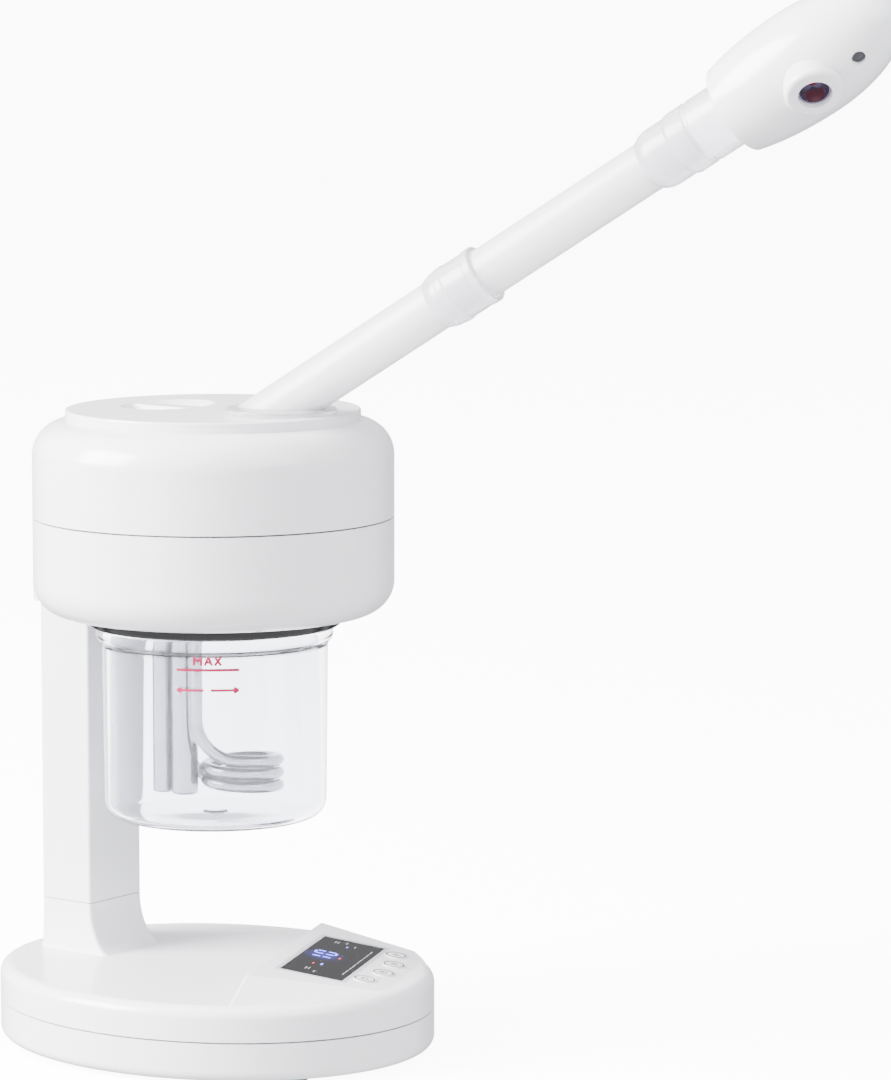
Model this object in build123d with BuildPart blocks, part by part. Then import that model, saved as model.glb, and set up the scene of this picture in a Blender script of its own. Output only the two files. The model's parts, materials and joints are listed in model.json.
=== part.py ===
"""Table-top facial steamer: oval base with a tilted control panel, square column, drum head,
clear water jar with a heating coil, and a clear two-stage steam arm with a turning nozzle.

Millimetres, +Z up. The origin is the centre of the oval base on the surface it stands on.
The column stands on the +Y side and the front of the steamer faces -Y.
"""
from build123d import *
import os
from math import cos, pi, radians, sin, sqrt

os.makedirs("parts", exist_ok=True)

# ---- clearances and walls ----
fit_gap = 0.1            # between fixed pieces that slot together
running_gap = 0.08       # radial, on turning and sliding fits
body_gap = 0.3           # between curved faces of pieces that move apart
joint_line = 0.8         # open shadow line between two shells
shell_wall = 3.0
screw_radius = 1.5
screw_head_radius = 3.0
screw_head_height = 1.8
boss_wall = 2.0

# ---- base ----
base_length = 238.0      # along Y
base_width = 202.0       # along X
foot_pad_height = 2.0
foot_pad_radius = 9.0
foot_pad_x = base_width / 2 - 53.0
foot_pad_y = base_length / 2 - 32.0
base_joint_z = 22.0
base_top_z = 40.0
base_top_edge = 6.0
base_bottom_edge = 5.0
base_screw_x = base_width / 2 - 39.0
base_screw_y = base_length / 2 - 47.0
side_screw_x = base_width / 2 - 17.0
side_screw_y = -12.0

# ---- column ----
column_y = 84.5          # centre of the column behind the head axis
column_width = 41.0      # along X
column_depth = 33.0      # along Y
column_wall = 2.5
column_edge = 1.5
column_joint_z = 66.0
foot_flare_front = 17.0
foot_flare_side = 2.5
core_width = 24.0
core_depth = 16.0
core_wall = 1.5
core_seat_wall = 4.0
core_top_above_head_bottom = 34.0
harness_radius = 2.6
cover_screw_spacing = 110.0

cover_screw_low_z = 90.0
flare_steps = 6
flare_sink = 1.0
harness_entry_z = 14.0
harness_bend = 6.0
harness_exit_reach = 6.0
gland_x = 0.0
gland_z = 12.0
gland_radius = 5.0
gland_lip = 2.0
gland_bore = 3.3
gland_length = 14.0
power_board_z = 9.0
power_board_y = 20.0
power_board_width = 90.0
power_board_length = 70.0
transformer_x = -18.0
transformer_y = 14.0
transformer_width = 24.0
transformer_length = 20.0
transformer_height = 9.0
capacitor_places = ((16.0, 12.0), (28.0, 12.0))
capacitor_radius = 4.5
capacitor_height = 8.0

# ---- head ----
head_radius = 92.5
head_bottom_z = 223.5
head_joint_z = 273.6
head_top_z = 323.0
head_top_edge = 18.0
head_bottom_edge = 17.0
cap_radius = 75.5
cap_height = 5.5
cap_edge = 1.0
grip_y = 30.0
grip_width = 58.0
grip_length = 42.0
grip_depth = 2.5
grip_bar = 9.0
grip_slope = 5.0
screw_post_height = 16.0
post_wall = 2.5
block_extra = 3.0        # how far the head block stands out past the column
block_top_z = 286.0
head_screw_circle = 80.0
head_screw_angles = (20, 160, 235, 305)

# ---- jar and its seat ----
ring_radius = 65.0
ring_height = 6.0
neck_radius = 56.0
neck_height = 14.0       # above the black ring's top face
jar_band_radius = 61.0
jar_radius = 58.2
jar_foot_radius = 57.2
jar_bottom_z = 118.0
jar_shoulder_z = 211.0
jar_edge = 9.0
jar_wall = 2.6
jar_nub_radius = 6.5
thread_wall = 4.2
seal_height = 2.5
seal_width = 6.0
flange_thickness = 3.0

jar_lip = 3.0
flange_screw_count = 4
flange_screw_radius = 1.0
flange_screw_length = 6.0

# ---- heating set ----
heater_turn = -53.0      # direction in which the heater legs bend, from +X
heater_tube_radius = 3.1
coil_radius = 18.4
coil_x = 14.0            # coil centre along the bend direction
coil_top_z = 149.7
coil_pitch = 6.7
coil_turns = 2.5
coil_steps = 12          # straight runs in one turn
leg_front_x = -8.6
leg_back_x = -15.7
leg_bend = 12.0
coil_bend = 17.0
leg_above_flange = 9.0
probe_x = -15.5
probe_radius = 6.8
level_probe_x = -27.0
level_probe_y = 8.0
level_probe_radius = 5.4
probe_bottom_z = 130.0
probe_wall = 0.8

# ---- steam path inside the head ----
arm_y = -44.0            # swivel axis of the arm, in front of the head axis
chamber_width = 44.0
chamber_length = 40.0
chamber_height = 24.0
chamber_wall = 2.0
chamber_shift = 22.0     # chamber reaches back from the duct towards the head axis
duct_radius = 12.4
duct_wall = 1.6
lamp_radius = 4.5
lamp_length = 30.0
lamp_back = 10.0         # lamp behind the middle of the chamber
duct_gap = 1.2           # between the duct and the turning socket
thermostat_x = 30.0
thermostat_y = 20.0
thermostat_radius = 8.0
tab_thickness = 1.0
tab_width = 4.0
fuse_y = 36.0
fuse_length = 12.0
fuse_radius = 2.5
terminal_x = 0.0
terminal_y = 46.0
terminal_width = 26.0
terminal_length = 10.0
terminal_height = 12.0

# ---- arm ----
arm_turn = 12.0          # arm at rest, turned from -Y towards +X
arm_rise = 32.2          # slope of the arm above level
socket_radius = 16.0
socket_wall = 2.4
socket_depth = 24.0
socket_flange_radius = 28.5
socket_flange_height = 2.5
bush_wall = 3.0
bush_height = 18.0
clip_height = 1.5
clip_groove = 1.0
duct_below_cap = 6.0
tube_radius = 12.7
tube_wall = 1.6
collar_start = 104.0     # distances along the arm axis
collar_length = 30.0
collar_radius = 15.4
upper_tube_end = 262.0
adaptor_start = 238.0
adaptor_step = 20.0
adaptor_radius = 15.6
adaptor_top_radius = 16.5
nozzle_start = 289.0
neck_overlap = 16.0

# ---- nozzle ----
nozzle_length = 99.0
nozzle_wall = 2.2
nozzle_roll = 40.0       # where the outlet sits, down from level
outlet_look = 50.0       # how far its face looks down from level
outlet_from_neck = 47.0
outlet_ring_radius = 14.5
outlet_bore_radius = 8.3
outlet_stand = 30.0      # outlet face from the arm axis
outlet_seat = 19.0
outlet_ring_edge = 2.5
liner_floor = 15.0
liner_wall = 1.0
liner_recess = 3.0
liner_vent_circle = 5.9
liner_vent_radius = 0.9
liner_vent_count = 6
core_button_radius = 4.6
core_button_height = 4.0
nozzle_neck_radius = 23.0
nozzle_radius = 27.5
nozzle_widest_at = 44.0
neck_edge = 1.5
neck_spread = 0.25
tip_hole_radius = 3.4
tip_hole_from_neck = 73.0

# ---- control panel ----
panel_turn = 22.0        # panel turned from -Y towards +X
panel_tilt = 8.5
panel_back = 36.0        # straight back edge, from the base centre
panel_mid = 63.0         # centre of the display, from the base centre
panel_mid_z = 46.0
panel_side = base_width / 2 - 3.0       # where a side slope meets the base top at the back edge
panel_side_taper = 0.8
panel_side_slope = 0.33
panel_wall = 2.5
display_width = 83.0
display_depth = 33.0
frame_border = 2.4
frame_thickness = 1.2
window_thickness = 1.6
button_circle = 93.0
button_step = 12.5       # degrees between buttons
button_count = 4
button_radius = 6.0
button_proud = 0.6
button_flange_radius = 7.4
button_flange = 1.3
button_travel = 0.8
button_stem = 2.0
board_depth = 12.0       # control board below the panel face
board_thickness = 1.6
board_width = 72.0
board_length = 54.0
board_shift = -8.0       # towards the front edge
board_post_x = 32.0
board_post_back = 16.8
board_post_front_x = 19.2
board_post_front = 19.8
board_post_wall = 1.5
wedge_edge = 1.5
switch_height = 3.5
switch_side = 6.0
board_screw_head_radius = 2.5
module_narrower = 10.0
module_shorter = 7.0
switch_plunger = 1.0

# ---- derived ----
housing_bottom_z = base_joint_z + joint_line / 2
cover_top_z = base_joint_z - joint_line / 2
ring_bottom_z = head_bottom_z - ring_height
neck_top_z = head_bottom_z + neck_height - seal_height
flange_z = neck_top_z + seal_height
flange_top_z = flange_z + flange_thickness
neck_bore = neck_radius + body_gap
barrel_radius = neck_bore + thread_wall
cap_top_z = head_top_z + cap_height
block_width = column_width + 2 * block_extra
block_front_y = column_y - column_depth / 2
socket_top_z = cap_top_z + body_gap + socket_flange_height
bush_bore = socket_radius + running_gap
bush_radius = bush_bore + bush_wall
core_top_z = head_bottom_z + core_top_above_head_bottom
harness_exit_z = core_top_z + 3 * harness_radius
chamber_y = arm_y + duct_radius + chamber_wall - chamber_length / 2 + chamber_shift
lamp_y = chamber_y + lamp_back
lamp_z = flange_top_z + chamber_height / 2
flange_screw_circle = neck_bore + thread_wall / 2
duct_top_z = cap_top_z - duct_below_cap
clip_z = cap_top_z - bush_height - clip_height
tube_meet = collar_start + collar_length / 2


def heading(turn):
    """Unit direction on the ground, turned from -Y towards +X by turn degrees."""
    return Vector(sin(radians(turn)), -cos(radians(turn)), 0)


def drum_half(radius, low, high, edge, lowest):
    """Half section of a drum from its axis out, with one outer corner rounded."""
    with Locations((radius / 2, (low + high) / 2)):
        half = Rectangle(radius, high - low)
    rim = half.vertices().group_by(Axis.X)[-1].sort_by(Axis.Y)
    fillet(rim[0] if lowest else rim[-1], edge)


def egg_half(shrink):
    """Half section of the nozzle: a neck that swells into an egg-shaped end, smaller by shrink."""
    start = nozzle_start
    widest = nozzle_start + nozzle_widest_at
    tip = nozzle_start + nozzle_length - shrink
    neck = nozzle_neck_radius - shrink
    belly = nozzle_radius - shrink
    with BuildLine() as outline:
        Line((start, 0), (start, neck - neck_edge))
        RadiusArc((start, neck - neck_edge), (start + neck_edge, neck), neck_edge)
        Spline((start + neck_edge, neck), (widest, belly), tangents=((1, neck_spread), (1, 0)))
        EllipticalCenterArc((widest, 0), tip - widest, belly, start_angle=0, arc_size=90)
        Line((tip, 0), (start, 0))
    make_face(outline.edges())


def oval(shrink=0.0):
    """The base outline, smaller all round by shrink."""
    return Ellipse(base_width / 2 - shrink, base_length / 2 - shrink)


# planes shared by several pieces
panel_out = heading(panel_turn)
panel_normal = (Vector(0, 0, 1) * cos(radians(panel_tilt)) + panel_out * sin(radians(panel_tilt)))
panel_centre = panel_out * panel_mid + Vector(0, 0, panel_mid_z)
panel_across = Vector(-panel_out.Y, panel_out.X, 0)      # to the right of someone facing the column
panel_plane = Plane(origin=panel_centre, x_dir=panel_across, z_dir=panel_normal)

arm_heading = heading(arm_turn)
arm_axis = arm_heading * cos(radians(arm_rise)) + Vector(0, 0, 1) * sin(radians(arm_rise))
arm_origin = Vector(0, arm_y, socket_top_z)
arm_side = Vector(arm_heading.Y, -arm_heading.X, 0)      # level, on the arm's left seen from the column
arm_plane = Plane(origin=arm_origin, x_dir=arm_side, z_dir=arm_axis)
swivel_plane = Plane(origin=(0, arm_y, 0))
heater_plane = Plane(origin=(0, 0, 0), x_dir=(cos(radians(heater_turn)), sin(radians(heater_turn)), 0),
                     z_dir=(0, 0, 1))
outlet_out = arm_plane.x_dir * cos(radians(nozzle_roll)) + arm_plane.y_dir * sin(radians(nozzle_roll))
outlet_normal = arm_plane.x_dir * cos(radians(outlet_look)) + arm_plane.y_dir * sin(radians(outlet_look))
outlet_centre = arm_origin + arm_axis * (nozzle_start + outlet_from_neck) + outlet_out * outlet_stand
outlet_plane = Plane(origin=outlet_centre - outlet_normal * outlet_stand, x_dir=arm_axis, z_dir=outlet_normal)
tip_hole_plane = Plane(origin=arm_origin + arm_axis * (nozzle_start + tip_hole_from_neck), x_dir=arm_axis,
                       z_dir=outlet_out)
nozzle_section = Plane(origin=arm_origin, x_dir=arm_axis, z_dir=arm_plane.x_dir)
base_screw_places = [(side * x, y) for side in (-1, 1)
                     for x, y in ((base_screw_x, base_screw_y), (side_screw_x, side_screw_y))]
button_angles = [(i - (button_count - 1) / 2) * button_step for i in range(button_count)]
button_places = [(button_circle * sin(radians(a)),
                  (panel_mid - button_circle * cos(radians(a))) / cos(radians(panel_tilt)))
                 for a in button_angles]
board_post_places = [(-board_post_x, board_post_back), (board_post_x, board_post_back),
                     (-board_post_front_x, -board_post_front), (board_post_front_x, -board_post_front)]
button_stem_length = (board_depth - panel_wall - running_gap - button_flange
                      - switch_height - switch_plunger - button_travel - fit_gap)
leg_front_y = -coil_radius
leg_top_z = flange_top_z + leg_above_flange
coil_step_angle = 360 / coil_steps
coil_corner_radius = coil_radius / cos(radians(coil_step_angle / 2))


def coil_corner(number):
    """Corner of the straight-sided coil that a circle of coil_radius touches inside."""
    angle = -90 + coil_step_angle * (number + 0.5)
    return (coil_x + coil_corner_radius * cos(radians(angle)), coil_corner_radius * sin(radians(angle)),
            coil_top_z - coil_pitch * (number + 0.5) / coil_steps)


coil_corners = [coil_corner(i) for i in range(int(coil_turns * coil_steps))]
coil_end_z = coil_top_z - coil_pitch * coil_turns
heater_points = [(leg_front_x, leg_front_y, leg_top_z), (leg_front_x, leg_front_y, coil_top_z), *coil_corners,
                 (leg_back_x, coil_radius, coil_end_z), (leg_back_x, coil_radius, leg_top_z)]
heater_bends = [leg_bend, *[coil_bend for _ in coil_corners], leg_bend]
leg_places = [(leg_front_x, leg_front_y), (leg_back_x, coil_radius)]
cover_screw_places = [(0, cover_screw_low_z), (0, cover_screw_low_z + cover_screw_spacing)]
foot_places = [(0, 0)] + [(x, y) for x in (-foot_pad_x, foot_pad_x) for y in (-foot_pad_y, foot_pad_y)]
gland_face_y = base_length / 2
head_screw_places = [(head_screw_circle * cos(radians(a)), head_screw_circle * sin(radians(a)))
                     for a in head_screw_angles]


# =============================== base ===============================
with BuildPart() as base_bottom_cover:
    with BuildSketch(Plane.XY.offset(foot_pad_height)):
        add(oval())
    extrude(amount=cover_top_z - foot_pad_height)
    fillet(base_bottom_cover.edges().group_by(Axis.Z)[0], base_bottom_edge)
    with BuildSketch(Plane.XY.offset(foot_pad_height + shell_wall)):
        add(oval(shell_wall))
    extrude(amount=base_joint_z, mode=Mode.SUBTRACT)
    with BuildSketch(Plane.XY.offset(foot_pad_height + shell_wall)):
        with Locations(*base_screw_places):
            Circle(screw_head_radius + boss_wall)
        with Locations((0, column_y)):
            Rectangle(core_width + 2 * core_seat_wall, core_depth + 2 * core_seat_wall)
    extrude(amount=cover_top_z - foot_pad_height - shell_wall)
    with BuildSketch(Plane.XY.offset(foot_pad_height)):
        with Locations(*base_screw_places):
            Circle(screw_radius + fit_gap)
    extrude(amount=base_joint_z, mode=Mode.SUBTRACT)
    with BuildSketch(Plane.XY.offset(foot_pad_height)):
        with Locations(*base_screw_places):
            Circle(screw_head_radius + fit_gap)
    extrude(amount=screw_head_height, mode=Mode.SUBTRACT)
    with BuildSketch(Plane.XY.offset(foot_pad_height + 2 * shell_wall)):
        with Locations((0, column_y)):
            Rectangle(core_width + fit_gap, core_depth + fit_gap)
    extrude(amount=base_joint_z, mode=Mode.SUBTRACT)
    with BuildSketch(Plane.XZ.offset(-column_y)):
        with Locations((0, cover_top_z)):
            Rectangle(2 * (harness_radius + fit_gap),
                      2 * (cover_top_z - harness_entry_z + harness_radius + fit_gap))
    extrude(amount=column_depth, mode=Mode.SUBTRACT)
    with BuildSketch(Plane.XZ.offset(-base_length / 2 + 4 * shell_wall)):
        with Locations((gland_x, gland_z)):
            Circle(gland_radius + fit_gap)
    extrude(amount=-base_length, mode=Mode.SUBTRACT)
base_bottom_cover.part.label = "base_bottom_cover"
export_step(base_bottom_cover.part, "parts/base_bottom_cover.step")

# the panel's wedge: one tilted top, a straight back and a slope down to each side
with BuildPart() as wedge:
    with BuildSketch(Plane.XY.offset(base_top_z - shell_wall / 2)):
        add(oval(base_top_edge / 2))
    extrude(amount=base_top_z)
    with BuildSketch(panel_plane):
        Rectangle(3 * base_length, 3 * base_length)
    extrude(amount=base_length, mode=Mode.SUBTRACT)
    with BuildSketch(Plane(origin=panel_out * panel_back, x_dir=panel_across, z_dir=-panel_out)):
        Rectangle(3 * base_length, 3 * base_length)
    extrude(amount=base_length, mode=Mode.SUBTRACT)
    for side in (-1, 1):
        slope = (panel_across * side * panel_side_slope + panel_out * panel_side_slope * panel_side_taper
                 + Vector(0, 0, 1))
        meets = panel_out * panel_back + panel_across * side * panel_side + Vector(0, 0, base_top_z)
        with BuildSketch(Plane(origin=meets, z_dir=slope)):
            Rectangle(4 * base_length, 4 * base_length)
        extrude(amount=base_length, mode=Mode.SUBTRACT)
    upper_edges = wedge.edges().filter_by_position(Axis.Z, base_top_z + fit_gap, base_top_z + base_length)
    fillet(upper_edges, wedge_edge)

with BuildPart() as panel_cuts:
    # room under the display, kept one wall below the panel face
    with BuildSketch(panel_plane.offset(-panel_wall)):
        Rectangle(display_width + 2 * frame_border, display_depth + 2 * frame_border)
    extrude(amount=-base_top_z)
    with BuildSketch(panel_plane):
        Rectangle(display_width + 2 * fit_gap, display_depth + 2 * fit_gap)
    extrude(amount=-2 * panel_wall)
    with BuildSketch(panel_plane):
        Rectangle(display_width + 2 * frame_border + fit_gap, display_depth + 2 * frame_border + fit_gap)
    extrude(amount=-frame_thickness)
    with BuildSketch(panel_plane):
        with Locations(*button_places):
            Circle(button_radius + running_gap)
    extrude(amount=-base_top_z)
    with BuildSketch(panel_plane.offset(-panel_wall)):
        with Locations(*button_places):
            Circle(button_flange_radius + body_gap)
    extrude(amount=-base_top_z)

with BuildPart() as board_posts:
    with BuildSketch(panel_plane.offset(-board_depth)):
        with Locations(*board_post_places):
            Circle(screw_radius + board_post_wall)
    extrude(amount=board_depth - panel_wall + frame_thickness / 2)

with BuildPart() as base_top_housing:
    with BuildSketch(Plane.XY.offset(housing_bottom_z)):
        add(oval())
    extrude(amount=base_top_z - housing_bottom_z)
    fillet(base_top_housing.edges().group_by(Axis.Z)[-1], base_top_edge)
    # the column's foot flares into the base top, most of all in front
    for step in range(flare_steps + 1):
        share = step / flare_steps
        spread = 1 - sqrt(1 - (1 - share) ** 2)
        front = foot_flare_front * spread
        side = foot_flare_side * spread
        height = base_top_z - flare_sink + share * (column_joint_z - base_top_z + flare_sink)
        with BuildSketch(Plane.XY.offset(height)):
            with Locations((0, column_y - front / 2)):
                RectangleRounded(column_width + 2 * side, column_depth + front, column_edge + side / 2)
    loft()
    # hollow of the base, and the way up through the foot
    with BuildSketch(Plane.XY.offset(housing_bottom_z)):
        add(oval(shell_wall))
    extrude(amount=base_top_z - shell_wall - housing_bottom_z, mode=Mode.SUBTRACT)
    with BuildSketch(Plane.XY.offset(housing_bottom_z)):
        with Locations((0, column_y)):
            Rectangle(core_width + fit_gap, core_depth + fit_gap)
    extrude(amount=column_joint_z, mode=Mode.SUBTRACT)
    with BuildSketch(Plane.XY.offset(housing_bottom_z)):
        with Locations(*base_screw_places):
            Circle(screw_radius + boss_wall)
            Circle(screw_radius - fit_gap, mode=Mode.SUBTRACT)
    extrude(amount=base_top_z - shell_wall / 2 - housing_bottom_z)
    add(wedge.part)
    add(panel_cuts.part, mode=Mode.SUBTRACT)
    add(board_posts.part)
    with BuildSketch(panel_plane.offset(-board_depth)):
        with Locations(*board_post_places):
            Circle(screw_radius - fit_gap)
    extrude(amount=board_depth - panel_wall - fit_gap, mode=Mode.SUBTRACT)
base_top_housing.part.label = "base_top_housing"
export_step(base_top_housing.part, "parts/base_top_housing.step")

with BuildPart() as rubber_feet:
    with BuildSketch():
        with Locations(*foot_places):
            Circle(foot_pad_radius)
    extrude(amount=foot_pad_height)
    fillet(rubber_feet.edges().group_by(Axis.Z)[0], foot_pad_height / 3)
rubber_feet.part.label = "rubber_feet"
export_step(rubber_feet.part, "parts/rubber_feet.step")

with BuildPart() as base_screws:
    with BuildSketch(Plane.XY.offset(foot_pad_height)):
        with Locations(*base_screw_places):
            Circle(screw_head_radius)
    extrude(amount=screw_head_height)
    with BuildSketch(Plane.XY.offset(foot_pad_height + screw_head_height)):
        with Locations(*base_screw_places):
            Circle(screw_radius - fit_gap)
    extrude(amount=base_top_z - 2 * shell_wall - foot_pad_height)
base_screws.part.label = "base_screws"
export_step(base_screws.part, "parts/base_screws.step")

with BuildPart() as cord_gland:
    with BuildSketch(Plane.XZ.offset(-gland_face_y)):
        with Locations((gland_x, gland_z)):
            Circle(gland_radius + gland_lip)
    extrude(amount=-gland_lip)
    with BuildSketch(Plane.XZ.offset(-gland_face_y)):
        with Locations((gland_x, gland_z)):
            Circle(gland_radius)
    extrude(amount=gland_length - gland_lip)
    with BuildSketch(Plane.XZ.offset(-gland_face_y - gland_lip)):
        with Locations((gland_x, gland_z)):
            Circle(gland_bore)
    extrude(amount=gland_length, mode=Mode.SUBTRACT)
cord_gland.part.label = "cord_gland"
export_step(cord_gland.part, "parts/cord_gland.step")

with BuildPart() as power_board:
    with BuildSketch(Plane.XY.offset(power_board_z)):
        with Locations((0, power_board_y)):
            Rectangle(power_board_width, power_board_length)
    extrude(amount=board_thickness)
    with BuildSketch(Plane.XY.offset(power_board_z + board_thickness)):
        with Locations((transformer_x, transformer_y)):
            Rectangle(transformer_width, transformer_length)
    extrude(amount=transformer_height)
    with BuildSketch(Plane.XY.offset(power_board_z + board_thickness)):
        with Locations(*capacitor_places):
            Circle(capacitor_radius)
    extrude(amount=capacitor_height)
power_board.part.label = "power_board"
export_step(power_board.part, "parts/power_board.step")

# ========================== control panel ==========================
with BuildPart() as display_frame:
    with BuildSketch(panel_plane):
        RectangleRounded(display_width + 2 * frame_border, display_depth + 2 * frame_border, frame_border / 2)
        Rectangle(display_width + fit_gap, display_depth + fit_gap, mode=Mode.SUBTRACT)
    extrude(amount=-frame_thickness)
display_frame.part.label = "display_frame"
export_step(display_frame.part, "parts/display_frame.step")

with BuildPart() as display_window:
    with BuildSketch(panel_plane.offset(-frame_thickness / 4)):
        Rectangle(display_width, display_depth)
    extrude(amount=-window_thickness)
display_window.part.label = "display_window"
export_step(display_window.part, "parts/display_window.step")

with BuildPart() as display_module:
    with BuildSketch(panel_plane.offset(-2 * panel_wall)):
        Rectangle(display_width - module_narrower, display_depth - module_shorter)
    extrude(amount=-(board_depth - 2 * panel_wall))
display_module.part.label = "display_module"
export_step(display_module.part, "parts/display_module.step")

with BuildPart() as control_board:
    with BuildSketch(panel_plane.offset(-board_depth)):
        with Locations((0, board_shift)):
            Rectangle(board_width, board_length)
        with Locations(*board_post_places):
            Circle(screw_radius + fit_gap, mode=Mode.SUBTRACT)
    extrude(amount=-board_thickness)
control_board.part.label = "control_board"
export_step(control_board.part, "parts/control_board.step")

with BuildPart() as board_screws:
    with BuildSketch(panel_plane.offset(-board_depth - board_thickness)):
        with Locations(*board_post_places):
            Circle(board_screw_head_radius)
    extrude(amount=-screw_head_height)
    with BuildSketch(panel_plane.offset(-board_depth - board_thickness)):
        with Locations(*board_post_places):
            Circle(screw_radius - fit_gap)
    extrude(amount=board_depth - panel_wall - fit_gap)
board_screws.part.label = "board_screws"
export_step(board_screws.part, "parts/board_screws.step")

with BuildPart() as button_switches:
    with BuildSketch(panel_plane.offset(-board_depth)):
        with Locations(*button_places):
            Rectangle(switch_side, switch_side)
    extrude(amount=switch_height)
    with BuildSketch(panel_plane.offset(-board_depth + switch_height)):
        with Locations(*button_places):
            Circle(button_stem)
    extrude(amount=switch_plunger)
button_switches.part.label = "button_switches"
export_step(button_switches.part, "parts/button_switches.step")

for number, place in enumerate(button_places, start=1):
    with BuildPart() as button:
        with BuildSketch(panel_plane.offset(button_proud)):
            with Locations(place):
                Circle(button_radius)
        extrude(amount=-button_proud - panel_wall - running_gap - button_flange)
        fillet(button.edges().group_by(Axis.Z)[-1], button_proud / 2)
        with BuildSketch(panel_plane.offset(-panel_wall - running_gap)):
            with Locations(place):
                Circle(button_flange_radius)
        extrude(amount=-button_flange)
        with BuildSketch(panel_plane.offset(-panel_wall - running_gap - button_flange)):
            with Locations(place):
                Circle(button_stem)
        extrude(amount=-(button_stem_length))
    button.part.label = f"button_{number}"
    export_step(button.part, f"parts/button_{number}.step")

# ============================== column ==============================
with BuildPart() as column_shell:
    with BuildSketch(Plane.XY.offset(column_joint_z + joint_line / 2)):
        with Locations((0, column_y)):
            RectangleRounded(column_width, column_depth, column_edge)
        with Locations((0, column_y + column_wall)):
            Rectangle(column_width - 2 * column_wall, column_depth, mode=Mode.SUBTRACT)
    extrude(amount=head_bottom_z - column_joint_z - joint_line)
column_shell.part.label = "column_shell"
export_step(column_shell.part, "parts/column_shell.step")

with BuildPart() as column_rear_cover:
    with BuildSketch(Plane.XY.offset(column_joint_z + joint_line / 2)):
        with Locations((0, column_y + column_depth / 2 - column_wall / 2)):
            Rectangle(column_width - 2 * column_wall - 2 * fit_gap, column_wall)
    extrude(amount=head_bottom_z - column_joint_z - joint_line)
    with BuildSketch(Plane.XZ.offset(-column_y - column_depth / 2 - column_wall)):
        with Locations(*cover_screw_places):
            Circle(screw_radius + fit_gap)
    extrude(amount=4 * column_wall, mode=Mode.SUBTRACT)
    with BuildSketch(Plane.XZ.offset(-column_y - column_depth / 2)):
        with Locations(*cover_screw_places):
            Circle(screw_head_radius + fit_gap)
    extrude(amount=screw_head_height, mode=Mode.SUBTRACT)
column_rear_cover.part.label = "column_rear_cover"
export_step(column_rear_cover.part, "parts/column_rear_cover.step")

with BuildPart() as column_core:
    with BuildSketch(Plane.XY.offset(foot_pad_height + 2 * shell_wall)):
        with Locations((0, column_y)):
            RectangleRounded(core_width, core_depth, core_wall)
            Rectangle(core_width - 2 * core_wall, core_depth - 2 * core_wall, mode=Mode.SUBTRACT)
    extrude(amount=core_top_z - foot_pad_height - 2 * shell_wall)
    with BuildSketch(Plane.XZ.offset(-column_y)):
        with Locations((0, harness_entry_z)):
            SlotCenterToCenter(4 * harness_radius, 4 * harness_radius, rotation=90)
    extrude(amount=core_depth, mode=Mode.SUBTRACT)
    with BuildSketch(Plane.XZ.offset(-column_y)):
        with Locations((0, cover_screw_places[0][1]), (0, cover_screw_places[1][1])):
            Circle(screw_radius - fit_gap)
    extrude(amount=-core_depth, mode=Mode.SUBTRACT)
column_core.part.label = "column_core"
export_step(column_core.part, "parts/column_core.step")

with BuildPart() as column_screws:
    with BuildSketch(Plane.XZ.offset(-column_y - column_depth / 2)):
        with Locations(*cover_screw_places):
            Circle(screw_head_radius)
    extrude(amount=screw_head_height)
    with BuildSketch(Plane.XZ.offset(-column_y - column_depth / 2 + screw_head_height)):
        with Locations(*cover_screw_places):
            Circle(screw_radius - 2 * fit_gap)
    extrude(amount=(column_depth - core_depth) / 2 + core_wall)
column_screws.part.label = "column_screws"
export_step(column_screws.part, "parts/column_screws.step")

# the wiring runs from the power board, up inside the core, to the terminal block in the head
with BuildPart() as wiring_harness:
    with BuildLine() as harness_route:
        FilletPolyline(
            (0, power_board_y + power_board_length / 2 + fit_gap, harness_entry_z),
            (0, column_y, harness_entry_z),
            (0, column_y, harness_exit_z),
            (0, block_front_y - harness_exit_reach, harness_exit_z),
            radius=harness_bend)
    with BuildSketch(Plane(harness_route.line @ 0, z_dir=harness_route.line % 0)):
        Circle(harness_radius)
    sweep()
wiring_harness.part.label = "wiring_harness"
export_step(wiring_harness.part, "parts/wiring_harness.step")

# =============================== head ===============================
with BuildPart() as head_lower_shell:
    with BuildSketch(Plane.XZ):
        drum_half(head_radius, head_bottom_z, head_joint_z - joint_line / 2, head_bottom_edge, lowest=True)
    revolve(axis=Axis.Z)
    with BuildSketch(Plane.XZ):
        drum_half(head_radius - shell_wall, head_bottom_z + shell_wall, head_top_z,
                  head_bottom_edge - shell_wall, lowest=True)
    revolve(axis=Axis.Z, mode=Mode.SUBTRACT)
    with BuildSketch(Plane.XY.offset(head_bottom_z + shell_wall / 2)):
        with Locations(*head_screw_places):
            Circle(screw_radius + post_wall)
    extrude(amount=head_joint_z - joint_line / 2 - head_bottom_z - shell_wall / 2)
    with BuildSketch(Plane.XY.offset(head_bottom_z)):
        Circle(barrel_radius + fit_gap)
        with Locations(*head_screw_places):
            Circle(screw_radius + fit_gap)
    extrude(amount=head_joint_z, mode=Mode.SUBTRACT)
    with BuildSketch(Plane.XY.offset(head_bottom_z - head_bottom_edge)):
        with Locations((0, column_y)):
            Rectangle(block_width + fit_gap, column_depth + 2 * block_extra + fit_gap)
    extrude(amount=head_joint_z, mode=Mode.SUBTRACT)
head_lower_shell.part.label = "head_lower_shell"
export_step(head_lower_shell.part, "parts/head_lower_shell.step")

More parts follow.
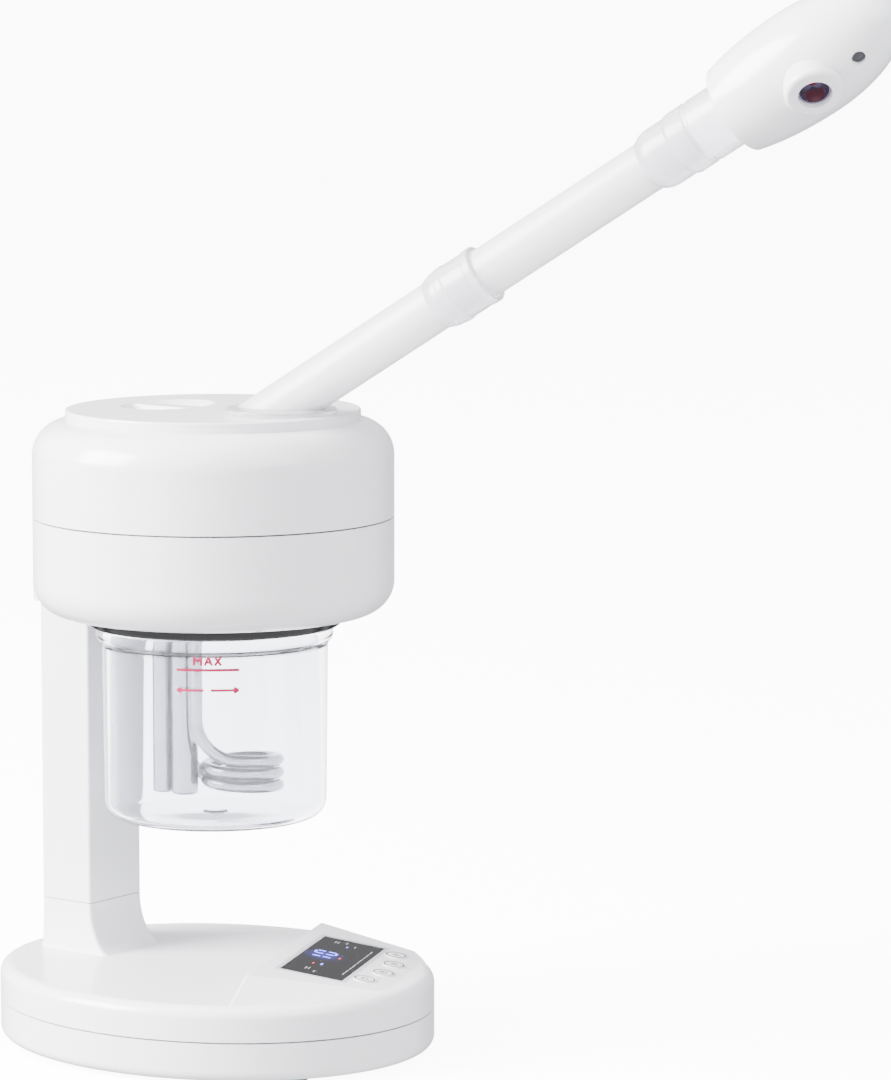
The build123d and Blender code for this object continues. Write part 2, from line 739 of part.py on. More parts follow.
with BuildPart() as head_upper_shell:
    with BuildSketch(Plane.XZ):
        drum_half(head_radius, head_joint_z + joint_line / 2, head_top_z, head_top_edge, lowest=False)
    revolve(axis=Axis.Z)
    with BuildSketch(Plane.XZ):
        drum_half(head_radius - shell_wall, head_bottom_z, head_top_z - shell_wall,
                  head_top_edge - shell_wall, lowest=False)
    revolve(axis=Axis.Z, mode=Mode.SUBTRACT)
    with BuildSketch(Plane.XY.offset(head_joint_z + joint_line / 2)):
        with Locations(*head_screw_places):
            Circle(screw_radius + post_wall)
            Circle(screw_radius - fit_gap, mode=Mode.SUBTRACT)
    extrude(amount=screw_post_height)
    with BuildSketch(Plane.XY.offset(head_joint_z + joint_line / 2 + screw_post_height)):
        with Locations(*head_screw_places):
            Circle(screw_radius + post_wall)
    extrude(until=Until.NEXT)
    with BuildSketch(swivel_plane):
        Circle(bush_radius + fit_gap)
    extrude(amount=head_top_z, mode=Mode.SUBTRACT)
    with BuildSketch(Plane.XY.offset(head_joint_z)):
        with Locations((0, column_y)):
            Rectangle(block_width + fit_gap, column_depth + 2 * block_extra + fit_gap)
    extrude(amount=block_top_z + fit_gap - head_joint_z, mode=Mode.SUBTRACT)
head_upper_shell.part.label = "head_upper_shell"
export_step(head_upper_shell.part, "parts/head_upper_shell.step")

with BuildPart() as head_block:
    with BuildSketch(Plane.XY.offset(head_bottom_z)):
        with Locations((0, column_y)):
            RectangleRounded(block_width, column_depth + 2 * block_extra, column_edge + 1)
    extrude(amount=block_top_z - head_bottom_z)
    fillet(head_block.edges().group_by(Axis.Z)[-1], column_edge)
    with BuildSketch(Plane.XY.offset(head_bottom_z + shell_wall)):
        with Locations((0, column_y)):
            Rectangle(block_width - 2 * column_wall, column_depth + 2 * block_extra - 2 * column_wall)
    extrude(amount=block_top_z - head_bottom_z - 2 * shell_wall, mode=Mode.SUBTRACT)
    with BuildSketch(Plane.XY.offset(head_bottom_z)):
        with Locations((0, column_y)):
            Rectangle(core_width + fit_gap, core_depth + fit_gap)
    extrude(amount=2 * shell_wall, mode=Mode.SUBTRACT)
    with BuildSketch(Plane.XZ.offset(-column_y)):
        with Locations((0, harness_exit_z)):
            Circle(2 * harness_radius)
    extrude(amount=column_depth, mode=Mode.SUBTRACT)
head_block.part.label = "head_block"
export_step(head_block.part, "parts/head_block.step")

with BuildPart() as head_screws:
    with BuildSketch(Plane.XY.offset(head_bottom_z + shell_wall)):
        with Locations(*head_screw_places):
            Circle(screw_radius - fit_gap)
    extrude(amount=head_joint_z - head_bottom_z - shell_wall + screw_post_height / 2)
head_screws.part.label = "head_screws"
export_step(head_screws.part, "parts/head_screws.step")

with BuildPart() as cap_disc:
    with BuildSketch(Plane.XY.offset(head_top_z)):
        Circle(cap_radius)
    extrude(amount=cap_height)
    fillet(cap_disc.edges().group_by(Axis.Z)[-1], cap_edge)
    for depth, inset in ((0, 0), (grip_depth, grip_slope)):
        with BuildSketch(Plane.XY.offset(cap_top_z - depth)):
            with Locations((0, grip_y)):
                Ellipse(grip_width / 2 - inset, grip_length / 2 - inset)
    loft(mode=Mode.SUBTRACT)
    with BuildSketch(Plane.XY.offset(cap_top_z - grip_depth)):
        with Locations((0, grip_y)):
            Rectangle(grip_bar, grip_length - 2 * cap_edge)
    extrude(amount=grip_depth - cap_edge / 2)
    with BuildSketch(swivel_plane):
        Circle(bush_radius + fit_gap)
    extrude(amount=cap_top_z, mode=Mode.SUBTRACT)
cap_disc.part.label = "cap_disc"
export_step(cap_disc.part, "parts/cap_disc.step")

with BuildPart() as terminal_block:
    with BuildSketch(Plane.XY.offset(flange_top_z)):
        with Locations((terminal_x, terminal_y)):
            Rectangle(terminal_width, terminal_length)
    extrude(amount=terminal_height)
    with BuildSketch(Plane.XY.offset(flange_top_z + terminal_height)):
        with Locations((terminal_x, terminal_y)):
            with GridLocations(terminal_width / 3, 1, 3, 1):
                Circle(screw_radius)
    extrude(amount=-terminal_height / 2, mode=Mode.SUBTRACT)
terminal_block.part.label = "terminal_block"
export_step(terminal_block.part, "parts/terminal_block.step")

# ======================= jar, seat and heater =======================
with BuildPart() as jar_ring:
    with BuildSketch(Plane.XY.offset(ring_bottom_z)):
        Circle(ring_radius)
    extrude(amount=ring_height - fit_gap)
    fillet(jar_ring.edges().group_by(Axis.Z)[0], ring_height / 4)
    with BuildSketch(Plane.XY.offset(ring_bottom_z)):
        Circle(barrel_radius)
    extrude(amount=flange_z - ring_bottom_z)
    with BuildSketch(Plane.XY.offset(ring_bottom_z)):
        Circle(neck_bore)
    extrude(amount=flange_z, mode=Mode.SUBTRACT)
    with BuildSketch(Plane.XY.offset(flange_z)):
        with PolarLocations(flange_screw_circle, flange_screw_count):
            Circle(flange_screw_radius + fit_gap / 2)
    extrude(amount=-flange_screw_length, mode=Mode.SUBTRACT)
jar_ring.part.label = "jar_ring"
export_step(jar_ring.part, "parts/jar_ring.step")

with BuildPart() as jar:
    with BuildSketch(Plane.XZ):
        with BuildLine():
            Polyline((0, jar_bottom_z), (jar_foot_radius, jar_bottom_z), (jar_radius, jar_shoulder_z),
                     (jar_band_radius, jar_shoulder_z + jar_lip), (jar_band_radius, ring_bottom_z - 2 * body_gap),
                     (neck_radius, ring_bottom_z - 2 * body_gap), (neck_radius, neck_top_z),
                     (neck_radius - jar_wall, neck_top_z), (neck_radius - jar_wall, jar_shoulder_z),
                     (jar_foot_radius - jar_wall, jar_bottom_z + jar_wall), (0, jar_bottom_z + jar_wall),
                     close=True)
        make_face()
    revolve(axis=Axis.Z)
    fillet(jar.edges().filter_by_position(Axis.Z, jar_bottom_z, jar_bottom_z), jar_edge)
    inner_edge = jar.edges().filter_by_position(Axis.Z, jar_bottom_z + jar_wall, jar_bottom_z + jar_wall)
    fillet(inner_edge, jar_edge - jar_wall)
    with BuildSketch(Plane.XY.offset(jar_bottom_z + jar_wall)):
        Circle(jar_nub_radius)
    extrude(amount=jar_wall / 2)
jar.part.label = "jar"
export_step(jar.part, "parts/jar.step")

with BuildPart() as jar_seal:
    with BuildSketch(Plane.XY.offset(neck_top_z)):
        Circle(neck_radius)
        Circle(neck_radius - seal_width, mode=Mode.SUBTRACT)
    extrude(amount=seal_height)
jar_seal.part.label = "jar_seal"
export_step(jar_seal.part, "parts/jar_seal.step")

with BuildPart() as heater_flange:
    with BuildSketch(Plane.XY.offset(flange_z)):
        Circle(barrel_radius)
        with PolarLocations(flange_screw_circle, flange_screw_count):
            Circle(flange_screw_radius + fit_gap / 2, mode=Mode.SUBTRACT)
        with Locations((0, chamber_y)):
            Rectangle(chamber_width - 4 * chamber_wall, chamber_length / 2, mode=Mode.SUBTRACT)
    extrude(amount=flange_thickness)
    with BuildSketch(heater_plane.offset(flange_z)):
        with Locations(*leg_places):
            Circle(heater_tube_radius + fit_gap / 2)
        with Locations((probe_x, 0)):
            Circle(probe_radius + fit_gap / 2)
        with Locations((level_probe_x, level_probe_y)):
            Circle(level_probe_radius + fit_gap / 2)
    extrude(amount=flange_thickness, mode=Mode.SUBTRACT)
heater_flange.part.label = "heater_flange"
export_step(heater_flange.part, "parts/heater_flange.step")

with BuildPart() as flange_screws:
    with BuildSketch(Plane.XY.offset(flange_top_z)):
        with PolarLocations(flange_screw_circle, flange_screw_count):
            Circle(2 * flange_screw_radius)
    extrude(amount=screw_head_height)
    with BuildSketch(Plane.XY.offset(flange_top_z)):
        with PolarLocations(flange_screw_circle, flange_screw_count):
            Circle(flange_screw_radius)
    extrude(amount=-flange_thickness - flange_screw_length + fit_gap)
flange_screws.part.label = "flange_screws"
export_step(flange_screws.part, "parts/flange_screws.step")

# one bent tube: front leg down, round the coil, and back up as the rear leg
with BuildPart() as heating_element:
    with BuildLine(heater_plane) as heater_route:
        FilletPolyline(*heater_points, radius=heater_bends)
    with BuildSketch(Plane(heater_route.line @ 0, z_dir=heater_route.line % 0)):
        Circle(heater_tube_radius)
    sweep()
heating_element.part.label = "heating_element"
export_step(heating_element.part, "parts/heating_element.step")

for name, x, y, radius in (("probe_sheath", probe_x, 0, probe_radius),
                           ("level_probe", level_probe_x, level_probe_y, level_probe_radius)):
    with BuildPart() as sheath:
        with BuildSketch(heater_plane.offset(probe_bottom_z)):
            with Locations((x, y)):
                Circle(radius)
        extrude(amount=flange_top_z + leg_above_flange / 2 - probe_bottom_z)
        fillet(sheath.edges().group_by(Axis.Z)[0], radius / 4)
        with BuildSketch(heater_plane.offset(probe_bottom_z + probe_wall)):
            with Locations((x, y)):
                Circle(radius - probe_wall)
        extrude(amount=flange_top_z, mode=Mode.SUBTRACT)
    sheath.part.label = name
    export_step(sheath.part, f"parts/{name}.step")

# ========================= steam path in head =========================
with BuildPart() as steam_chamber:
    with BuildSketch(Plane.XY.offset(flange_top_z)):
        with Locations((0, chamber_y)):
            RectangleRounded(chamber_width, chamber_length, 2 * chamber_wall)
    extrude(amount=chamber_height)
    with BuildSketch(swivel_plane.offset(flange_top_z + chamber_wall)):
        Circle(duct_radius)
    extrude(amount=duct_top_z - flange_top_z - chamber_wall)
    with BuildSketch(Plane.XY.offset(flange_top_z)):
        with Locations((0, chamber_y)):
            RectangleRounded(chamber_width - 2 * chamber_wall, chamber_length - 2 * chamber_wall, chamber_wall)
    extrude(amount=chamber_height - chamber_wall, mode=Mode.SUBTRACT)
    with BuildSketch(swivel_plane.offset(flange_top_z + chamber_wall)):
        Circle(duct_radius - duct_wall)
    extrude(amount=duct_top_z, mode=Mode.SUBTRACT)
steam_chamber.part.label = "steam_chamber"
export_step(steam_chamber.part, "parts/steam_chamber.step")

with BuildPart() as ozone_lamp:
    with BuildSketch(Plane.YZ.offset(-lamp_length / 2)):
        with Locations((lamp_y, lamp_z)):
            Circle(lamp_radius)
    extrude(amount=lamp_length)
    fillet(ozone_lamp.edges(), lamp_radius * 0.8)
ozone_lamp.part.label = "ozone_lamp"
export_step(ozone_lamp.part, "parts/ozone_lamp.step")

with BuildPart() as lamp_holder:
    for side in (-1, 1):
        with BuildSketch(Plane.YZ.offset(side * lamp_length / 3)):
            with Locations((lamp_y, (lamp_z + flange_top_z + chamber_height - chamber_wall) / 2)):
                Rectangle(2 * lamp_radius + 2, flange_top_z + chamber_height - chamber_wall - lamp_z)
            with Locations((lamp_y, lamp_z)):
                Circle(lamp_radius + fit_gap / 2, mode=Mode.SUBTRACT)
        extrude(amount=chamber_wall, both=True)
lamp_holder.part.label = "lamp_holder"
export_step(lamp_holder.part, "parts/lamp_holder.step")

with BuildPart() as thermostat:
    with BuildSketch(Plane.XY.offset(flange_top_z)):
        with Locations((thermostat_x, thermostat_y)):
            Circle(thermostat_radius)
    extrude(amount=thermostat_radius)
    with BuildSketch(Plane.XY.offset(flange_top_z + thermostat_radius)):
        with Locations((thermostat_x, thermostat_y)):
            with GridLocations(thermostat_radius, 1, 2, 1):
                Rectangle(tab_thickness, tab_width)
    extrude(amount=thermostat_radius / 2)
thermostat.part.label = "thermostat"
export_step(thermostat.part, "parts/thermostat.step")

with BuildPart() as thermal_fuse:
    with BuildSketch(Plane.YZ.offset(thermostat_x - fuse_length / 2)):
        with Locations((fuse_y, flange_top_z + fuse_radius)):
            Circle(fuse_radius)
    extrude(amount=fuse_length)
    chamfer(thermal_fuse.edges().group_by(Axis.X)[-1], fuse_radius / 3)
thermal_fuse.part.label = "thermal_fuse"
export_step(thermal_fuse.part, "parts/thermal_fuse.step")

# =============================== arm ===============================
with BuildPart() as swivel_bush:
    with BuildSketch(swivel_plane.offset(cap_top_z - bush_height)):
        Circle(bush_radius)
        Circle(bush_bore, mode=Mode.SUBTRACT)
    extrude(amount=bush_height)
swivel_bush.part.label = "swivel_bush"
export_step(swivel_bush.part, "parts/swivel_bush.step")

with BuildPart() as swivel_seal:
    with BuildSketch(Plane.XZ.offset(-arm_y)):
        with Locations((duct_radius + (duct_gap - running_gap) / 2, duct_top_z - 2 * duct_gap)):
            Rectangle(duct_gap - running_gap, 2 * duct_gap)
    revolve(axis=Axis((0, arm_y, 0), (0, 0, 1)))
swivel_seal.part.label = "swivel_seal"
export_step(swivel_seal.part, "parts/swivel_seal.step")

with BuildPart() as arm_socket:
    with BuildSketch(swivel_plane.offset(cap_top_z + body_gap)):
        Circle(socket_flange_radius)
    extrude(amount=socket_flange_height)
    fillet(arm_socket.edges().group_by(Axis.Z)[-1], socket_flange_height / 3)
    with BuildSketch(swivel_plane.offset(cap_top_z + body_gap)):
        Circle(socket_radius)
    extrude(amount=-socket_depth)
    with BuildSketch(swivel_plane.offset(socket_top_z)):
        Circle(socket_radius - socket_wall)
    extrude(amount=-2 * socket_depth, mode=Mode.SUBTRACT)
    with BuildSketch(swivel_plane.offset(clip_z)):
        Circle(socket_radius)
        Circle(socket_radius - clip_groove, mode=Mode.SUBTRACT)
    extrude(amount=clip_height, mode=Mode.SUBTRACT)
arm_socket.part.label = "arm_socket"
export_step(arm_socket.part, "parts/arm_socket.step")

with BuildPart() as retaining_clip:
    with BuildSketch(swivel_plane.offset(clip_z + fit_gap / 2)):
        Circle(bush_radius)
        Circle(socket_radius - clip_groove, mode=Mode.SUBTRACT)
        with Locations((0, -bush_radius)):
            Rectangle(socket_radius, bush_radius, mode=Mode.SUBTRACT)
    extrude(amount=clip_height - fit_gap)
retaining_clip.part.label = "retaining_clip"
export_step(retaining_clip.part, "parts/retaining_clip.step")

with BuildPart() as lower_tube:
    with BuildSketch(arm_plane.offset(-2 * tube_radius)):
        Circle(tube_radius)
        Circle(tube_radius - tube_wall, mode=Mode.SUBTRACT)
    extrude(amount=2 * tube_radius + tube_meet - fit_gap)
    with BuildSketch(Plane.XY.offset(socket_top_z)):
        Rectangle(2 * base_length, 2 * base_length)
    extrude(amount=-base_length, mode=Mode.SUBTRACT)
lower_tube.part.label = "lower_tube"
export_step(lower_tube.part, "parts/lower_tube.step")

with BuildPart() as mid_collar:
    with BuildSketch(arm_plane.offset(collar_start)):
        Circle(collar_radius)
    extrude(amount=collar_length)
    fillet(mid_collar.edges().sort_by(Axis.Z)[0], collar_radius - tube_radius - 2 * fit_gap)
    with BuildSketch(arm_plane.offset(collar_start)):
        Circle(tube_radius + fit_gap / 2)
    extrude(amount=collar_length / 2, mode=Mode.SUBTRACT)
    with BuildSketch(arm_plane.offset(tube_meet)):
        Circle(tube_radius + running_gap)
    extrude(amount=collar_length, mode=Mode.SUBTRACT)
mid_collar.part.label = "mid_collar"
export_step(mid_collar.part, "parts/mid_collar.step")

with BuildPart() as upper_tube:
    with BuildSketch(arm_plane.offset(tube_meet + body_gap)):
        Circle(tube_radius)
        Circle(tube_radius - tube_wall, mode=Mode.SUBTRACT)
    extrude(amount=upper_tube_end - tube_meet - body_gap)
upper_tube.part.label = "upper_tube"
export_step(upper_tube.part, "parts/upper_tube.step")

with BuildPart() as nozzle_adaptor:
    with BuildSketch(arm_plane.offset(adaptor_start)):
        Circle(adaptor_radius)
    extrude(amount=adaptor_step)
    fillet(nozzle_adaptor.edges().sort_by(Axis.Z)[0], adaptor_radius - tube_radius - 2 * fit_gap)
    with BuildSketch(arm_plane.offset(adaptor_start + adaptor_step)):
        Circle(adaptor_top_radius)
    extrude(amount=nozzle_start + neck_overlap - adaptor_start - adaptor_step)
    with BuildSketch(arm_plane.offset(adaptor_start)):
        Circle(tube_radius + fit_gap / 2)
    extrude(amount=upper_tube_end - adaptor_start, mode=Mode.SUBTRACT)
    with BuildSketch(arm_plane.offset(adaptor_start)):
        Circle(tube_radius - tube_wall)
    extrude(amount=nozzle_length + nozzle_start, mode=Mode.SUBTRACT)
nozzle_adaptor.part.label = "nozzle_adaptor"
export_step(nozzle_adaptor.part, "parts/nozzle_adaptor.step")

# ============================== nozzle ==============================
with BuildPart() as nozzle_body:
    with BuildSketch(nozzle_section):
        egg_half(0)
    revolve(axis=Axis(arm_origin, arm_axis))
    with BuildSketch(nozzle_section):
        egg_half(nozzle_wall)
    revolve(axis=Axis(arm_origin, arm_axis), mode=Mode.SUBTRACT)
    with BuildSketch(arm_plane.offset(nozzle_start)):
        Circle(adaptor_top_radius + 2 * nozzle_wall)
    extrude(amount=neck_overlap + nozzle_wall)
    with BuildSketch(arm_plane.offset(nozzle_start)):
        Circle(adaptor_top_radius + running_gap)
    extrude(amount=neck_overlap + body_gap, mode=Mode.SUBTRACT)
    with BuildSketch(arm_plane.offset(nozzle_start)):
        Circle(tube_radius)
    extrude(amount=2 * neck_overlap, mode=Mode.SUBTRACT)
    with BuildSketch(outlet_plane):
        Circle(outlet_ring_radius + fit_gap / 2)
    extrude(amount=outlet_stand, mode=Mode.SUBTRACT)
    with BuildSketch(tip_hole_plane):
        Circle(tip_hole_radius)
    extrude(amount=outlet_stand, mode=Mode.SUBTRACT)

for name, side in (("nozzle_upper_shell", Keep.TOP), ("nozzle_lower_shell", Keep.BOTTOM)):
    with BuildPart() as nozzle_shell:
        add(nozzle_body.part)
        split(bisect_by=Plane(origin=arm_origin, x_dir=arm_axis, z_dir=-arm_plane.y_dir), keep=side)
    nozzle_shell.part.label = name
    export_step(nozzle_shell.part, f"parts/{name}.step")

with BuildPart() as outlet_ring:
    with BuildSketch(outlet_plane.offset(outlet_seat)):
        Circle(outlet_ring_radius)
    extrude(amount=outlet_stand - outlet_seat)
    fillet(outlet_ring.edges().sort_by(lambda e: -(e.center() - outlet_plane.origin).dot(outlet_plane.z_dir))[0],
           outlet_ring_edge)
    with BuildSketch(outlet_plane):
        Circle(outlet_bore_radius)
    extrude(amount=2 * outlet_stand, mode=Mode.SUBTRACT)
outlet_ring.part.label = "outlet_ring"
export_step(outlet_ring.part, "parts/outlet_ring.step")

with BuildPart() as outlet_liner:
    with BuildSketch(outlet_plane.offset(liner_floor)):
        Circle(outlet_bore_radius - fit_gap / 2)
    extrude(amount=outlet_stand - liner_recess - liner_floor)
    with BuildSketch(outlet_plane.offset(liner_floor + liner_wall)):
        Circle(outlet_bore_radius - liner_wall)
    extrude(amount=outlet_stand, mode=Mode.SUBTRACT)
    with BuildSketch(outlet_plane):
        with PolarLocations(liner_vent_circle, liner_vent_count):
            Circle(liner_vent_radius)
    extrude(amount=outlet_stand, mode=Mode.SUBTRACT)
outlet_liner.part.label = "outlet_liner"
export_step(outlet_liner.part, "parts/outlet_liner.step")

with BuildPart() as outlet_core:
    with BuildSketch(outlet_plane.offset(liner_floor + liner_wall)):
        Circle(core_button_radius)
    extrude(amount=core_button_height)
    fillet(outlet_core.edges().sort_by(lambda e: -(e.center() - outlet_plane.origin).dot(outlet_plane.z_dir))[0],
           core_button_height * 0.9)
outlet_core.part.label = "outlet_core"
export_step(outlet_core.part, "parts/outlet_core.step")
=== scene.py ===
"""Looks of a table-top facial steamer: white moulded shells, clear jar and arm, chrome heater, lit control panel.

Laid out as an add-on and run as a script. Lengths are in metres unless a name says mm.
"""
import json

import bmesh
import bpy
import numpy as np
from bpy.props import FloatProperty, FloatVectorProperty, IntProperty, PointerProperty
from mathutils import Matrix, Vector


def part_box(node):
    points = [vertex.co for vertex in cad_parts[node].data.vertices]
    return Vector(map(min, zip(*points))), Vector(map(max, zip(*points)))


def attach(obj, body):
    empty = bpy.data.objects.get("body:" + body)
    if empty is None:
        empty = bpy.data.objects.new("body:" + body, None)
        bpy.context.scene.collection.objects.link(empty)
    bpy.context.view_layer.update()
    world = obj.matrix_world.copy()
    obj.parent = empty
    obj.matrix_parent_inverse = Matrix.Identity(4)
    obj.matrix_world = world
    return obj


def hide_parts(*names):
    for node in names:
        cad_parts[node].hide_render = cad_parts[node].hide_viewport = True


bl_info = {
    "name": "Facial steamer",
    "version": (1, 0, 0),
    "blender": (4, 5, 0),
    "location": "3D View > Sidebar > Steamer",
    "description": "Builds the looks of a table-top facial steamer on its packed frame",
    "category": "Object",
}

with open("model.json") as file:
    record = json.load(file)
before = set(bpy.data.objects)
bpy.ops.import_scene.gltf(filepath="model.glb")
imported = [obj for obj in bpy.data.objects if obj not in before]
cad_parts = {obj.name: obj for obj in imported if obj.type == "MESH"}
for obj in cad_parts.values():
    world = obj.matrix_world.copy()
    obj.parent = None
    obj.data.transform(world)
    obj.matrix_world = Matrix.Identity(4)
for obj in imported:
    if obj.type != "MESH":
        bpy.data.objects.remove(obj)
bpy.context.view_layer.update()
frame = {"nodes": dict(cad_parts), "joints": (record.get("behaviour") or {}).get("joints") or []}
MM = 0.001
UP = np.array([0.0, 0.0, 1.0])
JOINTS = {joint["name"]: joint for joint in frame["joints"]}
BUTTONS = ("button_1", "button_2", "button_3", "button_4")


def unit(vector):
    """The vector at length one."""
    return np.array(vector, float) / np.linalg.norm(vector)


def corners(node):
    """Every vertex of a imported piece, in metres."""
    mesh = frame["nodes"][node].data
    flat = np.empty(len(mesh.vertices) * 3)
    mesh.vertices.foreach_get("co", flat)
    return flat.reshape(-1, 3)


def middle(node):
    """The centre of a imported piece's box, in metres."""
    low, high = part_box(node)
    return (np.array(low) + np.array(high)) / 2


def level(node, direction):
    """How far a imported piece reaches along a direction, in metres."""
    return (corners(node) @ direction).max()


ARM_POINT = np.array(JOINTS["upper_tube_twist"]["pos_m"])
ARM_AXIS = unit(JOINTS["upper_tube_twist"]["axis"])
PANEL_NORMAL = -unit(JOINTS["button_1_press"]["axis"])
PANEL_ACROSS = unit(middle("button_4") - middle("button_1"))
PANEL_ACROSS *= np.sign(PANEL_ACROSS[0])
PANEL_IN = np.cross(PANEL_NORMAL, PANEL_ACROSS)
TUBE_STEPS = 40          # faces round a bent tube
STROKE_STEPS = 6         # faces along one printed stroke
DIGITS_AT = (2.7, 6.3)   # middle of the lit digits from the middle of the window, in mm
PRINT_HEIGHT = 0.12      # thickness of screen print in mm, heavier than real ink so that it casts an edge
JAR_PRINT_HEIGHT = 0.3   # the same on the clear jar, where its edge has to show through
JAR_PRINT_SINK = 0.15    # how far the jar print starts under the jar's face
JAR_WALL = 2.6           # jar sizes in mm
JAR_NECK_IN = 5.0        # the neck, foot and body are this much narrower than the band
JAR_FOOT_IN = 3.8
JAR_BODY_IN = 2.8
JAR_SHOULDER = 90.2      # from the bottom to the band
JAR_BAND_RISE = 3.0
JAR_RING_GAP = 0.6       # under the black ring
JAR_DIMPLE = (6.5, 5.8, 1.2)  # foot radius, top radius and height of the mark in the middle of its floor
JAR_PRINT_HEADING = -143.9
JAR_LEVEL = 202.0        # height of the fill line above the table
HEATER_TURN = -53.0      # the coil's heading
HEATER_RADIUS = 3.1
COIL_CENTRE = 14.0
COIL_RADIUS = 18.4
COIL_PITCH = 6.7
COIL_TURNS = 2.5
COIL_TOP = 149.7
COIL_STEPS = 240         # points along the coil
LEG_BEND = 22.0
LEG_FRONT = -8.6
LEG_BACK = -15.7
# outlines of the arm's pieces: radius, distance along the arm
UPPER_TUBE = [(11.1, 119.3), (12.7, 119.3), (12.7, 262.0), (11.1, 262.0)]
UPPER_TUBE_EDGE = 0.4
COLLAR = [(12.9, 104.0), (13.4, 104.0), (15.0, 109.0), (15.0, 112.0), (15.4, 112.6), (15.4, 116.0),
          (15.0, 116.6), (15.0, 129.5), (15.4, 130.0), (15.4, 134.0), (12.9, 134.0)]
COLLAR_EDGES = [0.2, 0.3, 1.5, 0.2, 0.2, 0.3, 0.2, 0.2, 0.3, 0.5, 0.4]
ADAPTOR = [(12.8, 238.0), (13.2, 238.0), (15.2, 242.0), (15.6, 245.0), (15.6, 256.5), (16.5, 258.0),
           (16.5, 268.0), (16.1, 268.5), (16.1, 270.5), (16.5, 271.0), (16.5, 305.0), (12.8, 305.0)]
ADAPTOR_EDGES = [0.2, 0.3, 1.5, 1.5, 0.7, 0.7, 0.2, 0.2, 0.2, 0.2, 0.5, 0.4]
GLOW_REACH = 14.0        # how far the painted glow of the display spreads in its window, in mm
RING_RADIUS = 5.1        # printed ring on a button, in mm
RING_WIDTH = 0.7
SIGN_WIDTH = 0.45
DIGIT_WIDTH = 1.15       # stroke widths on the display in mm
BLUE_MARK_WIDTH = 0.9
RED_MARK_WIDTH = 0.7
DASH_WIDTH = 0.55
LEVEL_LINE_WIDTH = 1.3   # stroke widths on the jar
LETTER_WIDTH = 1.2
FLOOR_RADIUS = 16.0      # stage sizes in metres
FLOOR_FLAT = 9.0
FLOOR_CURL = 0.35
SOFTBOXES = (("left softbox", (-1.9, 1.5, 1.4), 1.6, 600), ("front softbox", (-0.4, -2.6, 1.9), 1.8, 70),
             ("top softbox", (0.2, 0.2, 2.6), 2.0, 30))
LIGHTS_AIM = (0, 0, 0.22)
SENSOR = 36              # mm
LENS_SHARE = 5020 / 1080  # focal length as a share of the picture's longer side
CAMERA_PLACE = (-1.9716, -1.6202, 0.58486)
CAMERA_TURN = (82.75, 0, -53.25)


# ------------------------------------------------------------------ sizes and colours

# ------------------------------------------------------------------ surfaces

def weld(mesh):
    """Joins doubled points, drops faces with no area and turns every face outwards."""
    work = bmesh.new()
    work.from_mesh(mesh)
    bmesh.ops.remove_doubles(work, verts=work.verts, dist=1e-6)
    bmesh.ops.dissolve_degenerate(work, edges=work.edges, dist=1e-7)
    bmesh.ops.recalc_face_normals(work, faces=work.faces)
    work.to_mesh(mesh)
    work.free()


def solid(name, points, faces, finish, body, smooth=True, stands_for=()):
    """A piece from an array of points and one of faces, welded, finished and riding a body."""
    mesh = bpy.data.meshes.new(name)
    mesh.from_pydata(points.tolist(), [], faces.tolist())
    weld(mesh)
    mesh.polygons.foreach_set("use_smooth", np.full(len(mesh.polygons), smooth))
    mesh.materials.append(FINISH[finish])
    piece = bpy.data.objects.new(name, mesh)
    bpy.context.scene.collection.objects.link(piece)
    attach(piece, body)
    if stands_for:
        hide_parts(*stands_for)
    return piece


def grid_faces(rows, columns, close_rows=False, close_columns=False):
    """Four-cornered faces over a grid of points numbered row by row, joined up at the ends where it closes."""
    row = np.arange(rows if close_rows else rows - 1)[:, None]
    column = np.arange(columns if close_columns else columns - 1)[None, :]
    next_row = (row + 1) % rows
    next_column = (column + 1) % columns
    quads = np.stack([row * columns + column, row * columns + next_column,
                      next_row * columns + next_column, next_row * columns + column], -1)
    return quads.reshape(-1, 4)


def rounded(outline, radii, steps):
    """An outline with arcs at its corners: at each corner a quadratic curve from one side to the other, each end
    as far from the corner as its radius. A radius of 0 keeps the corner."""
    outline = np.array(outline, float)
    radii = np.array(radii, float)[:, None]
    before = np.roll(outline, 1, 0) - outline
    after = np.roll(outline, -1, 0) - outline
    start = outline + radii * before / np.linalg.norm(before, axis=1, keepdims=True)
    end = outline + radii * after / np.linalg.norm(after, axis=1, keepdims=True)
    t = np.linspace(0, 1, steps)[None, :, None]
    # a rational quadratic with the middle weight of a quarter circle, so a square corner becomes a true arc
    weight = 2 * t * (1 - t) * np.sqrt(0.5)
    total = (1 - t) ** 2 + weight + t ** 2
    curve = ((1 - t) ** 2 * start[:, None] + weight * outline[:, None] + t ** 2 * end[:, None]) / total
    return curve.reshape(-1, 2)


def across(axis, toward=(0.0, 0.0, 1.0)):
    """Two unit directions square to an axis and to each other, the first as near as can be to a given one."""
    first = np.array(toward, float) - np.dot(toward, axis) * axis
    first = unit(first) if np.linalg.norm(first) > 1e-6 else np.array([1.0, 0.0, 0.0])
    return first, np.cross(axis, first)


def turned(name, outline_mm, point, axis, finish, body, stands_for=()):
    """A turned piece: a closed outline of (radius, distance along the axis) pairs in millimetres carried round."""
    steps = bpy.context.scene.steamer_sizes.round_steps
    angle = np.linspace(0, 2 * np.pi, steps, endpoint=False)[None, :, None]
    radius = outline_mm[:, 0][:, None, None] * MM
    along = outline_mm[:, 1][:, None, None] * MM
    first, second = across(axis)
    points = point + along * axis + radius * (np.cos(angle) * first + np.sin(angle) * second)
    faces = grid_faces(len(outline_mm), steps, close_rows=True, close_columns=True)
    return solid(name, points.reshape(-1, 3), faces, finish, body, stands_for=stands_for)


